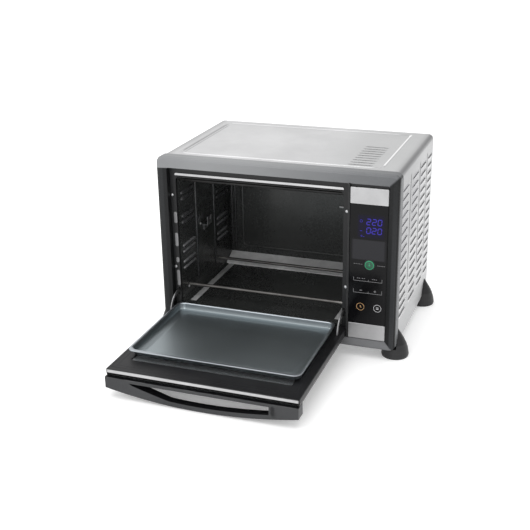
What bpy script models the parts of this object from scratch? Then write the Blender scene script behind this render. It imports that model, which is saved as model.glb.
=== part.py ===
"""Countertop toaster oven with a drop-down glass door and a pull-out crumb tray.

Metres, +Z up. The oven stands on z = 0 and its front looks along -Y.  The door is open and
the crumb tray lies on it.  Everything hangs on the empty "oven", whose Y = 0 is the front
face of the bezel, so the world origin is the middle of the whole object's footprint.
"""
import math

import bmesh
import bpy
from mathutils import Matrix, Vector

# ---------------------------------------------------------------- driving dimensions
BODY_W = 0.470            # width over the bezel
BODY_TOP = 0.356          # top of the bezel above the table
BODY_BOT = 0.016          # bottom of the bezel above the table
BEZEL_D = 0.024           # depth of the bezel
CASE_HALF = 0.2325        # outer half width of the casing
CASE_TOP = 0.3545
CASE_BOT = 0.0183
CASE_FRONT = 0.0245
CASE_BACK = 0.3180
SHEET = 0.0010            # casing sheet
GAP = 0.0003              # air between touching pieces

DOOR_X = (-0.2148, 0.1398)        # door, left and right edge
DOOR_Z = (0.0360, 0.0490)         # open door, outer and inner face
DOOR_Y = (-0.2790, 0.0125)        # open door, top edge and hinge edge
HINGE_Y, HINGE_Z = 0.0085, 0.0443
HANDLE_Y = (-0.2840, -0.2620)     # handle, outer and inner side
HANDLE_Z = (-0.0025, 0.0357)      # lowest point of the bow and top of its bar

MOUTH_X = (-0.2035, 0.1285)       # cavity mouth and inside of the liner
MOUTH_Z = (0.0490, 0.3130)
CAVITY_Y = (0.0245, 0.2900)
LINER = 0.0010

PANEL_X = (0.1446, 0.2142)        # control panel between divider and bezel
PANEL_Z = (0.0346, 0.3284)
BUTTON_X, BUTTON_Z, BUTTON_R = 0.1827, 0.1838, 0.0088

TRAY_X = (-0.1990, 0.1245)
TRAY_L = 0.2250
TRAY_Y = (-0.2300, -0.0050)       # lying on the open door
TRAY_Z = (0.0500, 0.0660)

ELEMENT_R = 0.0033
ELEMENT_Y = (0.0600, 0.2150)
ELEMENT_Z = (0.0760, 0.2960)
SPIT_Y, SPIT_Z = 0.1500, 0.1875
FAN_Y, FAN_Z, FAN_R = 0.2200, 0.2080, 0.0400

FOOT_X = 0.2290
FOOT_Y = (0.0330, 0.2900)
FOOT_DROP = 0.0040                # the soles lie this far below the oven's own Z = 0

GLAND_X, GLAND_Z, GLAND_OUT = 0.1750, 0.0600, 0.0120
BACK = 0.3245                     # outer face of the rear cover
SHIFT_Y = (-HANDLE_Y[0] - BACK - GLAND_OUT) / 2


# ---------------------------------------------------------------- tools
def clear_scene():
    for ob in list(bpy.data.objects):
        bpy.data.objects.remove(ob, do_unlink=True)


def material(name, colour, rough, metal=0.0, glass=0.0, glow=None):
    mat = bpy.data.materials.get(name)
    if mat:
        return mat
    mat = bpy.data.materials.new(name)
    mat.use_nodes = True
    node = mat.node_tree.nodes["Principled BSDF"]
    node.inputs["Base Color"].default_value = (*colour, 1)
    node.inputs["Roughness"].default_value = rough
    node.inputs["Metallic"].default_value = metal
    node.inputs["Transmission Weight"].default_value = glass
    if glow:
        node.inputs["Emission Color"].default_value = (*glow, 1)
        node.inputs["Emission Strength"].default_value = 1.5
    return mat


def empty(name, at, parent=None):
    ob = bpy.data.objects.new(name, None)
    ob["world"] = at
    bpy.context.scene.collection.objects.link(ob)
    base = Vector(parent["world"]) if parent else Vector((0, 0, 0))
    ob.parent = parent
    ob.location = Vector(at) - base
    return ob


def node(name, bm, mat, parent, smooth=None):
    """A finished sub-part: bm holds it in the oven's own coordinates."""
    at = Vector(parent["world"])
    bmesh.ops.translate(bm, verts=bm.verts, vec=-at)
    bmesh.ops.recalc_face_normals(bm, faces=bm.faces)
    mesh = bpy.data.meshes.new(name)
    bm.to_mesh(mesh)
    bm.free()
    mesh.materials.append(mat)
    ob = bpy.data.objects.new(name, mesh)
    bpy.context.scene.collection.objects.link(ob)
    ob.parent = parent
    if smooth is not None:
        mesh.shade_smooth()
        mesh.set_sharp_from_angle(angle=math.radians(smooth))
    return ob


def cutter(name, bm, parent):
    ob = node(name, bm, material("cutter", (1, 0, 0), 0.5), parent)
    ob.hide_render = True
    ob.display_type = "WIRE"
    return ob


def cut(ob, tool, operation="DIFFERENCE"):
    mod = ob.modifiers.new("cut", "BOOLEAN")
    mod.operation = operation
    mod.solver = "EXACT"
    mod.object = tool


def bevel(ob, width, segments=2, angle=40):
    mod = ob.modifiers.new("edges", "BEVEL")
    mod.width = width
    mod.segments = segments
    mod.limit_method = "ANGLE"
    mod.angle_limit = math.radians(angle)


def add_box(bm, x, y, z):
    made = bmesh.ops.create_cube(bm, size=1.0)["verts"]
    size = Matrix.Diagonal((x[1] - x[0], y[1] - y[0], z[1] - z[0], 1))
    middle = Matrix.Translation(((x[0] + x[1]) / 2, (y[0] + y[1]) / 2, (z[0] + z[1]) / 2))
    bmesh.ops.transform(bm, matrix=middle @ size, verts=made)
    return made


def add_rod(bm, axis, ends, a, b, radius, radius2=None, sides=24):
    """A rod along x, y or z between ends; a and b are its other two coordinates."""
    length = ends[1] - ends[0]
    made = bmesh.ops.create_cone(bm, cap_ends=True, segments=sides, radius1=radius,
                                 radius2=radius if radius2 is None else radius2, depth=length)["verts"]
    mid = (ends[0] + ends[1]) / 2
    if axis == "x":
        turn, at = Matrix.Rotation(math.pi / 2, 4, "Y"), (mid, a, b)
    elif axis == "y":
        turn, at = Matrix.Rotation(-math.pi / 2, 4, "X"), (a, mid, b)
    else:
        turn, at = Matrix.Identity(4), (a, b, mid)
    bmesh.ops.transform(bm, matrix=Matrix.Translation(at) @ turn, verts=made)
    return made


def round_rect(u, v, radius, steps=5):
    """Points round a rectangle with rounded corners, counter-clockwise from the lower right."""
    radius = max(radius, 1e-5)
    out = []
    for cu, cv, start in ((u[1] - radius, v[0] + radius, -90), (u[1] - radius, v[1] - radius, 0),
                          (u[0] + radius, v[1] - radius, 90), (u[0] + radius, v[0] + radius, 180)):
        for i in range(steps + 1):
            t = math.radians(start + 90 * i / steps)
            out.append((cu + radius * math.cos(t), cv + radius * math.sin(t)))
    return out


def loft(loops, closed=False):
    """Join loops of points into a solid; a closed loft is a ring, else both ends are capped."""
    bm = bmesh.new()
    rows = [[bm.verts.new(p) for p in loop] for loop in loops]
    pairs = list(zip(rows, rows[1:])) + ([(rows[-1], rows[0])] if closed else [])
    for low, high in pairs:
        n = len(low)
        for i in range(n):
            j = (i + 1) % n
            bm.faces.new((low[i], low[j], high[j], high[i]))
    if not closed:
        bm.faces.new(rows[0])
        bm.faces.new(rows[-1])
    return bm


def facing(points, y):
    return [(a, y, b) for a, b in points]


def level(points, z):
    return [(a, b, z) for a, b in points]


def prism(outline, low, high, axis="y"):
    """An outline pushed along one axis: (x, z) along y, or (y, z) along x."""
    def at(p, h):
        return (p[0], h, p[1]) if axis == "y" else (h, p[0], p[1])
    return loft([[at(p, low) for p in outline], [at(p, high) for p in outline]])


# ---------------------------------------------------------------- body
def front_bezel(root):
    half = BODY_W / 2
    outer = ((-half, half), (BODY_BOT, BODY_TOP))
    inner = ((DOOR_X[0] - 0.0004, 0.2148), (0.0330, 0.3340))

    def grown(rect, d):
        return tuple((a[0] - d, a[1] + d) for a in rect)
    loops = []
    for y, rect, r in ((BEZEL_D, outer, 0.012), (0.0060, outer, 0.012),
                       (0.0015, grown(outer, -0.0015), 0.0105), (0.0, grown(outer, -0.005), 0.008),
                       (0.0035, inner, 0.003), (BEZEL_D, inner, 0.003)):
        loops.append(facing(round_rect(rect[0], rect[1], r), y))
    mat = material("bezel_plastic", (0.10, 0.10, 0.11), 0.42)
    return node("front_bezel", loft(loops, closed=True), mat, root, 35)


def divider_bar(root):
    bm = bmesh.new()
    add_box(bm, (0.1406, 0.1440), (0.0012, BEZEL_D), (0.0334, 0.3336))
    return node("divider_bar", bm, material("bezel_plastic", (0.1, 0.1, 0.11), 0.42), root)


def mouth_frame(root):
    """Black jamb between the bezel and the cavity, slotted for the door stays."""
    x, z = (DOOR_X[0] - 0.0001, 0.1402), (0.0334, 0.3336)
    loops = [facing(round_rect(x, z, 0.002, 3), y) for y in (0.0240, 0.0165)]
    loops += [facing(round_rect(MOUTH_X, MOUTH_Z, 0.006, 3), y) for y in (0.0165, 0.0240)]
    mat = material("jamb_black", (0.018, 0.018, 0.02), 0.5)
    ob = node("mouth_frame", loft(loops, closed=True), mat, root)
    bm = bmesh.new()
    for side in STAY_X:
        add_box(bm, (side[0] - 0.0005, side[1] + 0.0005), (0.014, 0.027), (0.0690, 0.0850))
    cut(ob, cutter("stay_slots", bm, root))
    return ob


def opening_strip(root):
    loops = [facing(round_rect((-0.2040, 0.1290), (0.3150, 0.3220), 0.0034, 6), y)
             for y in (0.0162, 0.0148)]
    mat = material("polished_steel", (0.75, 0.75, 0.76), 0.18, 1.0)
    return node("opening_strip", loft(loops), mat, root, 40)


def outer_casing(root):
    """One bent sheet over both sides and the top."""
    def wrap(half, top, radius, steps=6):
        pts = [(half, CASE_BOT)]
        for cx, start in ((half - radius, 0), (-half + radius, 90)):
            for i in range(steps + 1):
                t = math.radians(start + 90 * i / steps)
                pts.append((cx + radius * math.cos(t), top - radius + radius * math.sin(t)))
        return pts + [(-half, CASE_BOT)]
    outline = wrap(CASE_HALF, CASE_TOP, 0.011)
    outline += reversed(wrap(CASE_HALF - SHEET, CASE_TOP - SHEET, 0.010))
    bm = prism(outline, CASE_FRONT, CASE_BACK)
    mat = material("casing_steel", (0.62, 0.62, 0.61), 0.34, 0.9)
    return node("outer_casing", bm, mat, root, 30)


def rear_cover(root):
    """Pressed rear panel with a turned flange, and the hole for the cord gland."""
    x, z = (-CASE_HALF + 0.0005, CASE_HALF - 0.0005), (CASE_BOT + 0.0004, CASE_TOP - 0.0004)

    def inset(rect, d):
        return (rect[0] + d, rect[1] - d)
    loops = [facing(round_rect(inset(x, 0.008), inset(z, 0.008), 0.008), BACK - 0.0012),
             facing(round_rect(inset(x, 0.0012), inset(z, 0.0012), 0.009), CASE_BACK + GAP + 0.0012),
             facing(round_rect(inset(x, 0.0012), inset(z, 0.0012), 0.009), CASE_BACK + GAP),
             facing(round_rect(x, z, 0.010), CASE_BACK + GAP),
             facing(round_rect(x, z, 0.010), CASE_BACK + GAP + 0.0016),
             facing(round_rect(inset(x, 0.007), inset(z, 0.007), 0.009), BACK)]
    mat = material("zinc_sheet", (0.55, 0.56, 0.57), 0.42, 0.9)
    ob = node("rear_cover", loft(loops), mat, root, 30)
    bm = bmesh.new()
    add_rod(bm, "y", (BACK - 0.01, BACK + 0.01), GLAND_X, GLAND_Z, 0.0075, sides=24)
    cut(ob, cutter("gland_hole", bm, root))
    return ob


def base_plate(root):
    bm = bmesh.new()
    half = CASE_HALF - SHEET - 0.0004
    add_box(bm, (-half, half), (CASE_FRONT, CASE_BACK), (0.0166, 0.0180))
    return node("base_plate", bm, material("zinc_sheet", (0.55, 0.56, 0.57), 0.42, 0.9), root)


def foot(root, name, side, y):
    """Flared foot: a full cone under the base and half a cone against the side."""
    rings = ((-FOOT_DROP, 0.0250), (0.0, 0.0260), (0.0120, 0.0240), (0.0220, 0.0205),
             (0.0320, 0.0155), (0.0420, 0.0095), (0.0500, 0.0042), (0.0520, 0.0026))
    sides = 32
    loops = [[(side * FOOT_X + r * math.cos(2 * math.pi * i / sides),
               y + r * math.sin(2 * math.pi * i / sides), z) for i in range(sides)]
             for z, r in rings]
    mat = material("foot_plastic", (0.02, 0.02, 0.021), 0.55)
    ob = node(name, loft(loops), mat, root, 45)
    for part, far, front, back in (("side", CASE_HALF + GAP, -0.01, 0.40),
                                   ("front", BODY_W / 2 + GAP, -0.02, BEZEL_D + 0.0002)):
        bm = bmesh.new()
        add_box(bm, (0.1, far) if side > 0 else (-far, -0.1), (front, back), (BODY_BOT - GAP, 0.09))
        cut(ob, cutter("%s_%s_cut" % (name, part), bm, root))
    return ob


# ---------------------------------------------------------------- cavity
def cavity_liner(root):
    def rect(grow, y):
        x = (MOUTH_X[0] - grow, MOUTH_X[1] + grow)
        z = (MOUTH_Z[0] - grow, MOUTH_Z[1] + grow)
        return facing(round_rect(x, z, 0.006 + grow, 3), y)
    loops = [rect(LINER, CAVITY_Y[1] + LINER), rect(LINER, CAVITY_Y[0]),
             rect(0, CAVITY_Y[0]), rect(0, CAVITY_Y[1])]
    mat = material("liner_enamel", (0.055, 0.057, 0.062), 0.45, 0.6)
    ob = node("cavity_liner", loft(loops), mat, root)
    bm = bmesh.new()
    for y in ELEMENT_Y:
        for z in ELEMENT_Z:
            for x in (MOUTH_X[0], MOUTH_X[1]):
                add_rod(bm, "x", (x - 0.006, x + 0.006), y, z, ELEMENT_R + 0.0006, sides=16)
    add_rod(bm, "x", (MOUTH_X[1] - 0.006, MOUTH_X[1] + 0.006), SPIT_Y, SPIT_Z, 0.0070, sides=20)
    add_rod(bm, "x", (MOUTH_X[1] - 0.006, MOUTH_X[1] + 0.006), FAN_Y, FAN_Z, 0.0050, sides=16)
    cut(ob, cutter("liner_holes", bm, root))
    return ob


def element(root, name, y, z):
    """Straight sheathed heating rod with its thinner cold pins."""
    left, right = MOUTH_X
    rings = ((left - 0.0080, 0.0018), (left - 0.0040, 0.0018), (left - 0.0040, ELEMENT_R),
             (right + 0.0040, ELEMENT_R), (right + 0.0040, 0.0018), (right + 0.0080, 0.0018))
    sides = 14
    loops = [[(x, y + r * math.cos(2 * math.pi * i / sides), z + r * math.sin(2 * math.pi * i / sides))
              for i in range(sides)] for x, r in rings]
    mat = material("element_sheath", (0.36, 0.36, 0.35), 0.4, 0.8)
    return node(name, loft(loops), mat, root, 45)


def spit_bracket(root):
    """Cradle on the left wall that carries the plain end of a spit."""
    y0, y1, z0, z1 = SPIT_Y - 0.011, SPIT_Y + 0.011, SPIT_Z - 0.012, SPIT_Z + 0.006
    notch = [(SPIT_Y + 0.0045, z1)]
    for i in range(9):
        t = math.radians(-180 * i / 8)
        notch.append((SPIT_Y + 0.0045 * math.cos(t), SPIT_Z + 0.0045 * math.sin(t)))
    notch.append((SPIT_Y - 0.0045, z1))
    wall = MOUTH_X[0] + GAP
    mat = material("bracket_steel", (0.5, 0.5, 0.5), 0.35, 1.0)
    ob = node("spit_bracket", prism([(y0, z0), (y1, z0), (y1, z1)] + notch + [(y0, z1)],
                                    wall + 0.0080, wall + 0.0096, axis="x"), mat, root)
    bent = [(wall, z0 - 0.0100), (wall + 0.0014, z0 - 0.0100), (wall + 0.0014, z0),
            (wall + 0.0088, z0), (wall + 0.0088, z0 + 0.0014), (wall, z0 + 0.0014)]
    shelf = node("bracket_foot", prism(bent, y0 + 0.0005, y1 - 0.0005), mat, root)
    shelf.hide_render = True
    shelf.display_type = "WIRE"
    cut(ob, shelf, "UNION")
    return ob


def spit_drive(root):
    """Turned drive stub with a square socket for the spit."""
    bm = bmesh.new()
    add_rod(bm, "x", (MOUTH_X[1] - 0.0140, MOUTH_X[1] + 0.0200), SPIT_Y, SPIT_Z, 0.0060, sides=24)
    mat = material("bracket_steel", (0.5, 0.5, 0.5), 0.35, 1.0)
    ob = node("spit_drive", bm, mat, root, 40)
    bm = bmesh.new()
    made = add_box(bm, (MOUTH_X[1] - 0.0200, MOUTH_X[1] - 0.0020), (SPIT_Y - 0.0032, SPIT_Y + 0.0032),
                   (SPIT_Z - 0.0032, SPIT_Z + 0.0032))
    assert len(made) == 8
    cut(ob, cutter("spit_socket", bm, root))
    return ob


def spit_motor(root):
    bm = bmesh.new()
    add_rod(bm, "x", (MOUTH_X[1] + 0.0204, MOUTH_X[1] + 0.0420), SPIT_Y, SPIT_Z, 0.0240, sides=28)
    return node("spit_motor", bm, material("zinc_sheet", (0.55, 0.56, 0.57), 0.42, 0.9), root, 40)


def fan_blade(root):
    """Hub and six flat blades turning behind the grille."""
    x0, x1 = MOUTH_X[1] - 0.0085, MOUTH_X[1] - 0.0025
    blades, hub = 6, 0.0090
    outline = []
    for k in range(blades):
        base = 2 * math.pi * k / blades
        for r, a in ((hub, -0.42), (FAN_R, -0.16), (FAN_R, 0.16), (hub, 0.42)):
            outline.append((FAN_Y + r * math.cos(base + a), FAN_Z + r * math.sin(base + a)))
    bm = prism(outline, x0, x1, axis="x")
    mat = material("bracket_steel", (0.5, 0.5, 0.5), 0.35, 1.0)
    ob = node("fan_blade", bm, mat, root)
    bm = bmesh.new()
    add_rod(bm, "x", (x0 + 0.0010, MOUTH_X[1] + 0.0200), FAN_Y, FAN_Z, 0.0030, sides=16)
    shaft = node("fan_shaft", bm, mat, root)
    shaft.hide_render = True
    shaft.display_type = "WIRE"
    cut(ob, shaft, "UNION")
    return ob


def fan_grille(root):
    """Shallow round pressed cover on the right wall, with rows of slots."""
    x0, x1, r = MOUTH_X[1] - 0.0120, MOUTH_X[1] - GAP, FAN_R + 0.0080
    sides = 32

    def ring(radius, x):
        return [(x, FAN_Y + radius * math.cos(2 * math.pi * i / sides),
                 FAN_Z + radius * math.sin(2 * math.pi * i / sides)) for i in range(sides)]
    loops = [ring(r - 0.004, x0), ring(r, x1 - 0.001), ring(r + 0.006, x1 - 0.001), ring(r + 0.006, x1),
             ring(r - 0.001, x1), ring(r - 0.005, x0 + 0.001)]
    ob = node("fan_grille", loft(loops), material("liner_enamel", (0.06, 0.06, 0.06), 0.45, 0.6), root, 30)
    bm = bmesh.new()
    for k in range(-3, 4):
        half = math.sqrt((r - 0.012) ** 2 - (k * 0.010) ** 2)
        add_box(bm, (x0 - 0.002, x0 + 0.003), (FAN_Y - half, FAN_Y + half),
                (FAN_Z + k * 0.010 - 0.0022, FAN_Z + k * 0.010 + 0.0022))
    cut(ob, cutter("grille_slots", bm, root))
    return ob


def fan_motor(root):
    bm = bmesh.new()
    add_rod(bm, "x", (MOUTH_X[1] + 0.0204, MOUTH_X[1] + 0.0500), FAN_Y, FAN_Z, 0.0260, sides=28)
    return node("fan_motor", bm, material("zinc_sheet", (0.55, 0.56, 0.57), 0.42, 0.9), root, 40)


def temperature_probe(root):
    bm = bmesh.new()
    add_rod(bm, "x", (MOUTH_X[1] - 0.0300, MOUTH_X[1] - GAP), 0.1000, 0.2560, 0.0025, sides=12)
    return node("temperature_probe", bm, material("bracket_steel", (0.5, 0.5, 0.5), 0.35, 1.0), root, 40)


# ---------------------------------------------------------------- door
STAY_X = ((0.1308, 0.1328), (-0.2078, -0.2058))
STAY_R = (0.0320, 0.0380)


def door_frame(door):
    lip, top, bottom = 0.0255, 0.0420, 0.0300
    x, y = DOOR_X, DOOR_Y
    inner_x, inner_y = (x[0] + lip, x[1] - lip), (y[0] + top, y[1] - bottom)
    low, high = DOOR_Z[0] + 0.0035, DOOR_Z[1]
    loops = [level(round_rect(x, y, 0.003, 3), z) for z in (low, high - 0.001)]
    loops.append(level(round_rect((x[0] + 0.001, x[1] - 0.001), (y[0] + 0.001, y[1] - 0.001), 0.002, 3), high))
    loops += [level(round_rect(inner_x, inner_y, 0.004, 3), z) for z in (high, low)]
    mat = material("door_black", (0.02, 0.02, 0.022), 0.42)
    ob = node("door_frame", loft(loops, closed=True), mat, door)
    bm = bmesh.new()
    for end, way in ((x[0], 1), (x[1], -1)):
        ends = sorted((end - way * 0.002, end + way * 0.0100))
        add_rod(bm, "x", ends, HINGE_Y, HINGE_Z, 0.0021, sides=20)
    cut(ob, cutter("pin_bores", bm, door))
    return ob


def door_glass(door):
    made = []
    mat = material("door_glass", (0.55, 0.57, 0.58), 0.03, 0.0, 1.0)
    bm = loft([level(round_rect((DOOR_X[0] + 0.0003, DOOR_X[1] - 0.0003),
                                (DOOR_Y[0] + 0.0003, DOOR_Y[1] - 0.0065), 0.003, 3), z)
               for z in (DOOR_Z[0], DOOR_Z[0] + 0.0032)])
    made.append(node("door_outer_glass", bm, mat, door))
    x = (DOOR_X[0] + 0.0255 + GAP, DOOR_X[1] - 0.0255 - GAP)
    y = (DOOR_Y[0] + 0.0420 + GAP, DOOR_Y[1] - 0.0300 - GAP)
    bm = loft([level(round_rect(x, y, 0.0037, 3), z) for z in (DOOR_Z[1] - 0.0042, DOOR_Z[1] - 0.0012)])
    made.append(node("door_inner_glass", bm, mat, door))
    return made


def door_top_trim(door):
    bm = bmesh.new()
    ends = (DOOR_X[0] + 0.0040, DOOR_X[1] - 0.0015)
    add_box(bm, ends, (DOOR_Y[0] - 0.0018, DOOR_Y[0] - GAP), (DOOR_Z[0] + 0.0048, DOOR_Z[1] - 0.0006))
    ob = node("door_top_trim", bm, material("polished_steel", (0.75, 0.75, 0.76), 0.18, 1.0), door)
    return ob


def door_handle(door):
    """Handle across the top edge: a straight bar, and a bow below it that leaves a finger slot."""
    x0, x1 = DOOR_X
    low, top = HANDLE_Z
    low_end, bow, block, bar = 0.0150, 0.0100, 0.0460, 0.0089
    mid, half, n = (x0 + x1) / 2, (x1 - x0) / 2, 24

    def lower(x):
        t = (x - mid) / half
        return low + (low_end - low) * t * t

    def across(a, b):
        return [a + (b - a) * i / n for i in range(n + 1)]
    outline = [(x0, top), (x1, top), (x1, low_end + 0.003)]
    outline += [(x, lower(x)) for x in across(x1 - 0.004, x0 + 0.004)] + [(x0, low_end + 0.003)]
    ob = node("door_handle", prism(outline, HANDLE_Y[0], HANDLE_Y[1]),
              material("handle_grey", (0.09, 0.09, 0.1), 0.38), door, 30)
    left, right = x0 + block, x1 - block
    slot = [(left + 0.002, top - bar), (left, top - bar - 0.002)]
    slot += [(x, lower(x) + bow) for x in across(left + 0.0015, right - 0.0015)]
    slot += [(right, top - bar - 0.002), (right - 0.002, top - bar)]
    cut(ob, cutter("finger_slot", prism(slot, HANDLE_Y[0] - 0.01, HANDLE_Y[1] + 0.01), door))
    return ob


def door_stay(door, name, x):
    """Curved stay that runs round the hinge axis through a slot in the jamb."""
    outline = []
    steps = 12
    for radius, order in ((STAY_R[1], range(steps + 1)), (STAY_R[0], range(steps, -1, -1))):
        for i in order:
            base = math.degrees(math.asin((DOOR_Z[1] + GAP - HINGE_Z) / radius))
            t = math.radians(70 + (180 - base - 70) * i / steps)
            outline.append((HINGE_Y + radius * math.cos(t), HINGE_Z + radius * math.sin(t)))
    bm = prism(outline, x[0], x[1], axis="x")
    return node(name, bm, material("bracket_steel", (0.5, 0.5, 0.5), 0.35, 1.0), door, 30)


def hinge_pin(root, name, ends):
    """Steel pin fixed in the body that the door turns on."""
    bm = bmesh.new()
    add_rod(bm, "x", ends, HINGE_Y, HINGE_Z, 0.0019, sides=20)
    return node(name, bm, material("bracket_steel", (0.5, 0.5, 0.5), 0.35, 1.0), root, 40)


# ---------------------------------------------------------------- crumb tray
def crumb_tray(tray):
    x, y, z = TRAY_X, TRAY_Y, TRAY_Z
    sheet = 0.0008

    def rect(side, front, back, height, radius):
        return level(round_rect((x[0] + side, x[1] - side), (y[0] + front, y[1] - back), radius, 4), height)
    loops = [rect(0.0060, 0.0120, 0.0050, z[0], 0.010),
             rect(0.0040, 0.0100, 0.0030, z[0] + 0.0020, 0.012),
             rect(0.0040, 0.0095, 0.0030, z[1] - 0.0040, 0.012),
             rect(0.0, 0.0, 0.0, z[1] - 0.0040, 0.014),
             rect(0.0, 0.0, 0.0, z[1] - 0.0020, 0.014),
             rect(0.0048, 0.0103, 0.0038, z[1] - 0.0020, 0.0112),
             rect(0.0048, 0.0108, 0.0038, z[0] + 0.0020 + sheet, 0.0112),
             rect(0.0066, 0.0126, 0.0056, z[0] + sheet, 0.0094)]
    bm = loft(loops)
    ob = node("crumb_tray", bm, material("tray_steel", (0.58, 0.6, 0.63), 0.16, 1.0), tray, 35)
    bm = bmesh.new()
    add_box(bm, (-0.170, 0.095), (y[0], y[0] + 0.0012), (z[0] + 0.0030, z[1] - 0.0030))
    add_box(bm, (-0.170, 0.095), (y[0], y[0] + 0.0100), (z[1] - 0.0036, z[1]))
    grip = node("tray_grip", bm, ob.data.materials[0], tray)
    grip.hide_render = True
    grip.display_type = "WIRE"
    cut(ob, grip, "UNION")
    return ob


# ---------------------------------------------------------------- control side
def plate(root, name, x, y, z, mat, edge=0.0005, radius=0.0012):
    loops = [facing(round_rect((x[0], x[1]), (z[0], z[1]), radius, 3), y[1]),
             facing(round_rect((x[0], x[1]), (z[0], z[1]), radius, 3), y[0] + edge),
             facing(round_rect((x[0] + edge, x[1] - edge), (z[0] + edge, z[1] - edge),
                               max(radius - edge, 0.0003), 3), y[0])]
    return node(name, loft(loops), mat, root, 30)


def button_hole(root, ob, name, radius):
    bm = bmesh.new()
    add_rod(bm, "y", (-0.005, 0.020), BUTTON_X, BUTTON_Z, radius, sides=32)
    cut(ob, cutter(name, bm, root))


def control_panel(root):
    steel = material("brushed_plate", (0.66, 0.66, 0.66), 0.3, 1.0)
    x = PANEL_X
    carrier = plate(root, "panel_carrier", (0.1443, 0.2144), (0.0060, 0.0090), (0.0334, 0.3336),
                    material("jamb_black", (0.018, 0.018, 0.02), 0.5), radius=0.0032)
    button_hole(root, carrier, "carrier_hole", BUTTON_R + 0.0004)
    glass = plate(root, "panel_glass", x, (0.0022, 0.0057), (0.0654, 0.2974),
                  material("panel_black", (0.006, 0.006, 0.008), 0.06))
    button_hole(root, glass, "glass_hole", BUTTON_R + 0.0022)
    plate(root, "panel_top_plate", x, (0.0018, 0.0057), (0.2979, PANEL_Z[1]), steel)
    plate(root, "panel_bottom_plate", x, (0.0018, 0.0057), (PANEL_Z[0], 0.0649), steel)


def button_ring(root):
    sides = 32

    def ring(r, y):
        return [(BUTTON_X + r * math.cos(2 * math.pi * i / sides), y,
                 BUTTON_Z + r * math.sin(2 * math.pi * i / sides)) for i in range(sides)]
    a, b = BUTTON_R + 0.0003, BUTTON_R + 0.0019
    bm = loft([ring(b, 0.0057), ring(b, 0.0021), ring(b - 0.0004, 0.0017), ring(a, 0.0017), ring(a, 0.0057)],
              closed=True)
    return node("button_ring", bm, material("bezel_plastic", (0.1, 0.1, 0.11), 0.42), root, 35)


def start_button(button):
    sides = 32

    def ring(r, y):
        return [(BUTTON_X + r * math.cos(2 * math.pi * i / sides), y,
                 BUTTON_Z + r * math.sin(2 * math.pi * i / sides)) for i in range(sides)]
    bm = loft([ring(BUTTON_R, 0.0125), ring(BUTTON_R, 0.0012), ring(BUTTON_R - 0.0008, 0.0004),
               ring(BUTTON_R - 0.0030, 0.0002)])
    return node("start_button", bm, material("button_green", (0.05, 0.3, 0.09), 0.3, glow=(0.1, 1, 0.25)),
                button, 35)


def electronics(root):
    board = material("circuit_board", (0.02, 0.16, 0.07), 0.5)
    dark = material("component_black", (0.03, 0.03, 0.03), 0.5)

    def block(name, x, y, z, mat):
        bm = bmesh.new()
        add_box(bm, x, y, z)
        return node(name, bm, mat, root)
    block("display_module", (0.1560, 0.2080), (0.0093, 0.0150), (0.2300, 0.2850), dark)
    block("control_board", (0.1480, 0.2120), (0.0153, 0.0169), (0.0900, 0.3050), board)
    block("power_board", (0.2040, 0.2056), (0.0600, 0.2100), (0.0400, 0.1450), board)
    block("power_relay", (0.1850, 0.2036), (0.0900, 0.1150), (0.0700, 0.0950), dark)
    block("transformer", (0.1600, 0.2036), (0.1400, 0.1800), (0.0500, 0.0900),
          material("zinc_sheet", (0.55, 0.56, 0.57), 0.42, 0.9))
    block("terminal_block", (0.1500, 0.2000), (0.2700, 0.2950), (0.0184, 0.0380),
          material("nylon_white", (0.8, 0.8, 0.78), 0.5))


def cord_gland(root):
    """Stepped gland in the rear cover where the mains lead leaves."""
    rings = ((BACK - 0.0100, 0.0105), (BACK - 0.0016, 0.0105), (BACK - 0.0016, 0.0072),
             (BACK + GAP, 0.0072), (BACK + GAP, 0.0110), (BACK + 0.0040, 0.0105),
             (BACK + GLAND_OUT, 0.0070))
    sides = 24
    loops = [[(GLAND_X + r * math.cos(2 * math.pi * i / sides), y,
               GLAND_Z + r * math.sin(2 * math.pi * i / sides)) for i in range(sides)] for y, r in rings]
    ob = node("cord_gland", loft(loops), material("foot_plastic", (0.02, 0.02, 0.02), 0.55), root, 40)
    bm = bmesh.new()
    add_rod(bm, "y", (BACK - 0.012, BACK + GLAND_OUT + 0.002), GLAND_X, GLAND_Z, 0.0038, sides=20)
    cut(ob, cutter("lead_bore", bm, root))
    return ob


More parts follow.
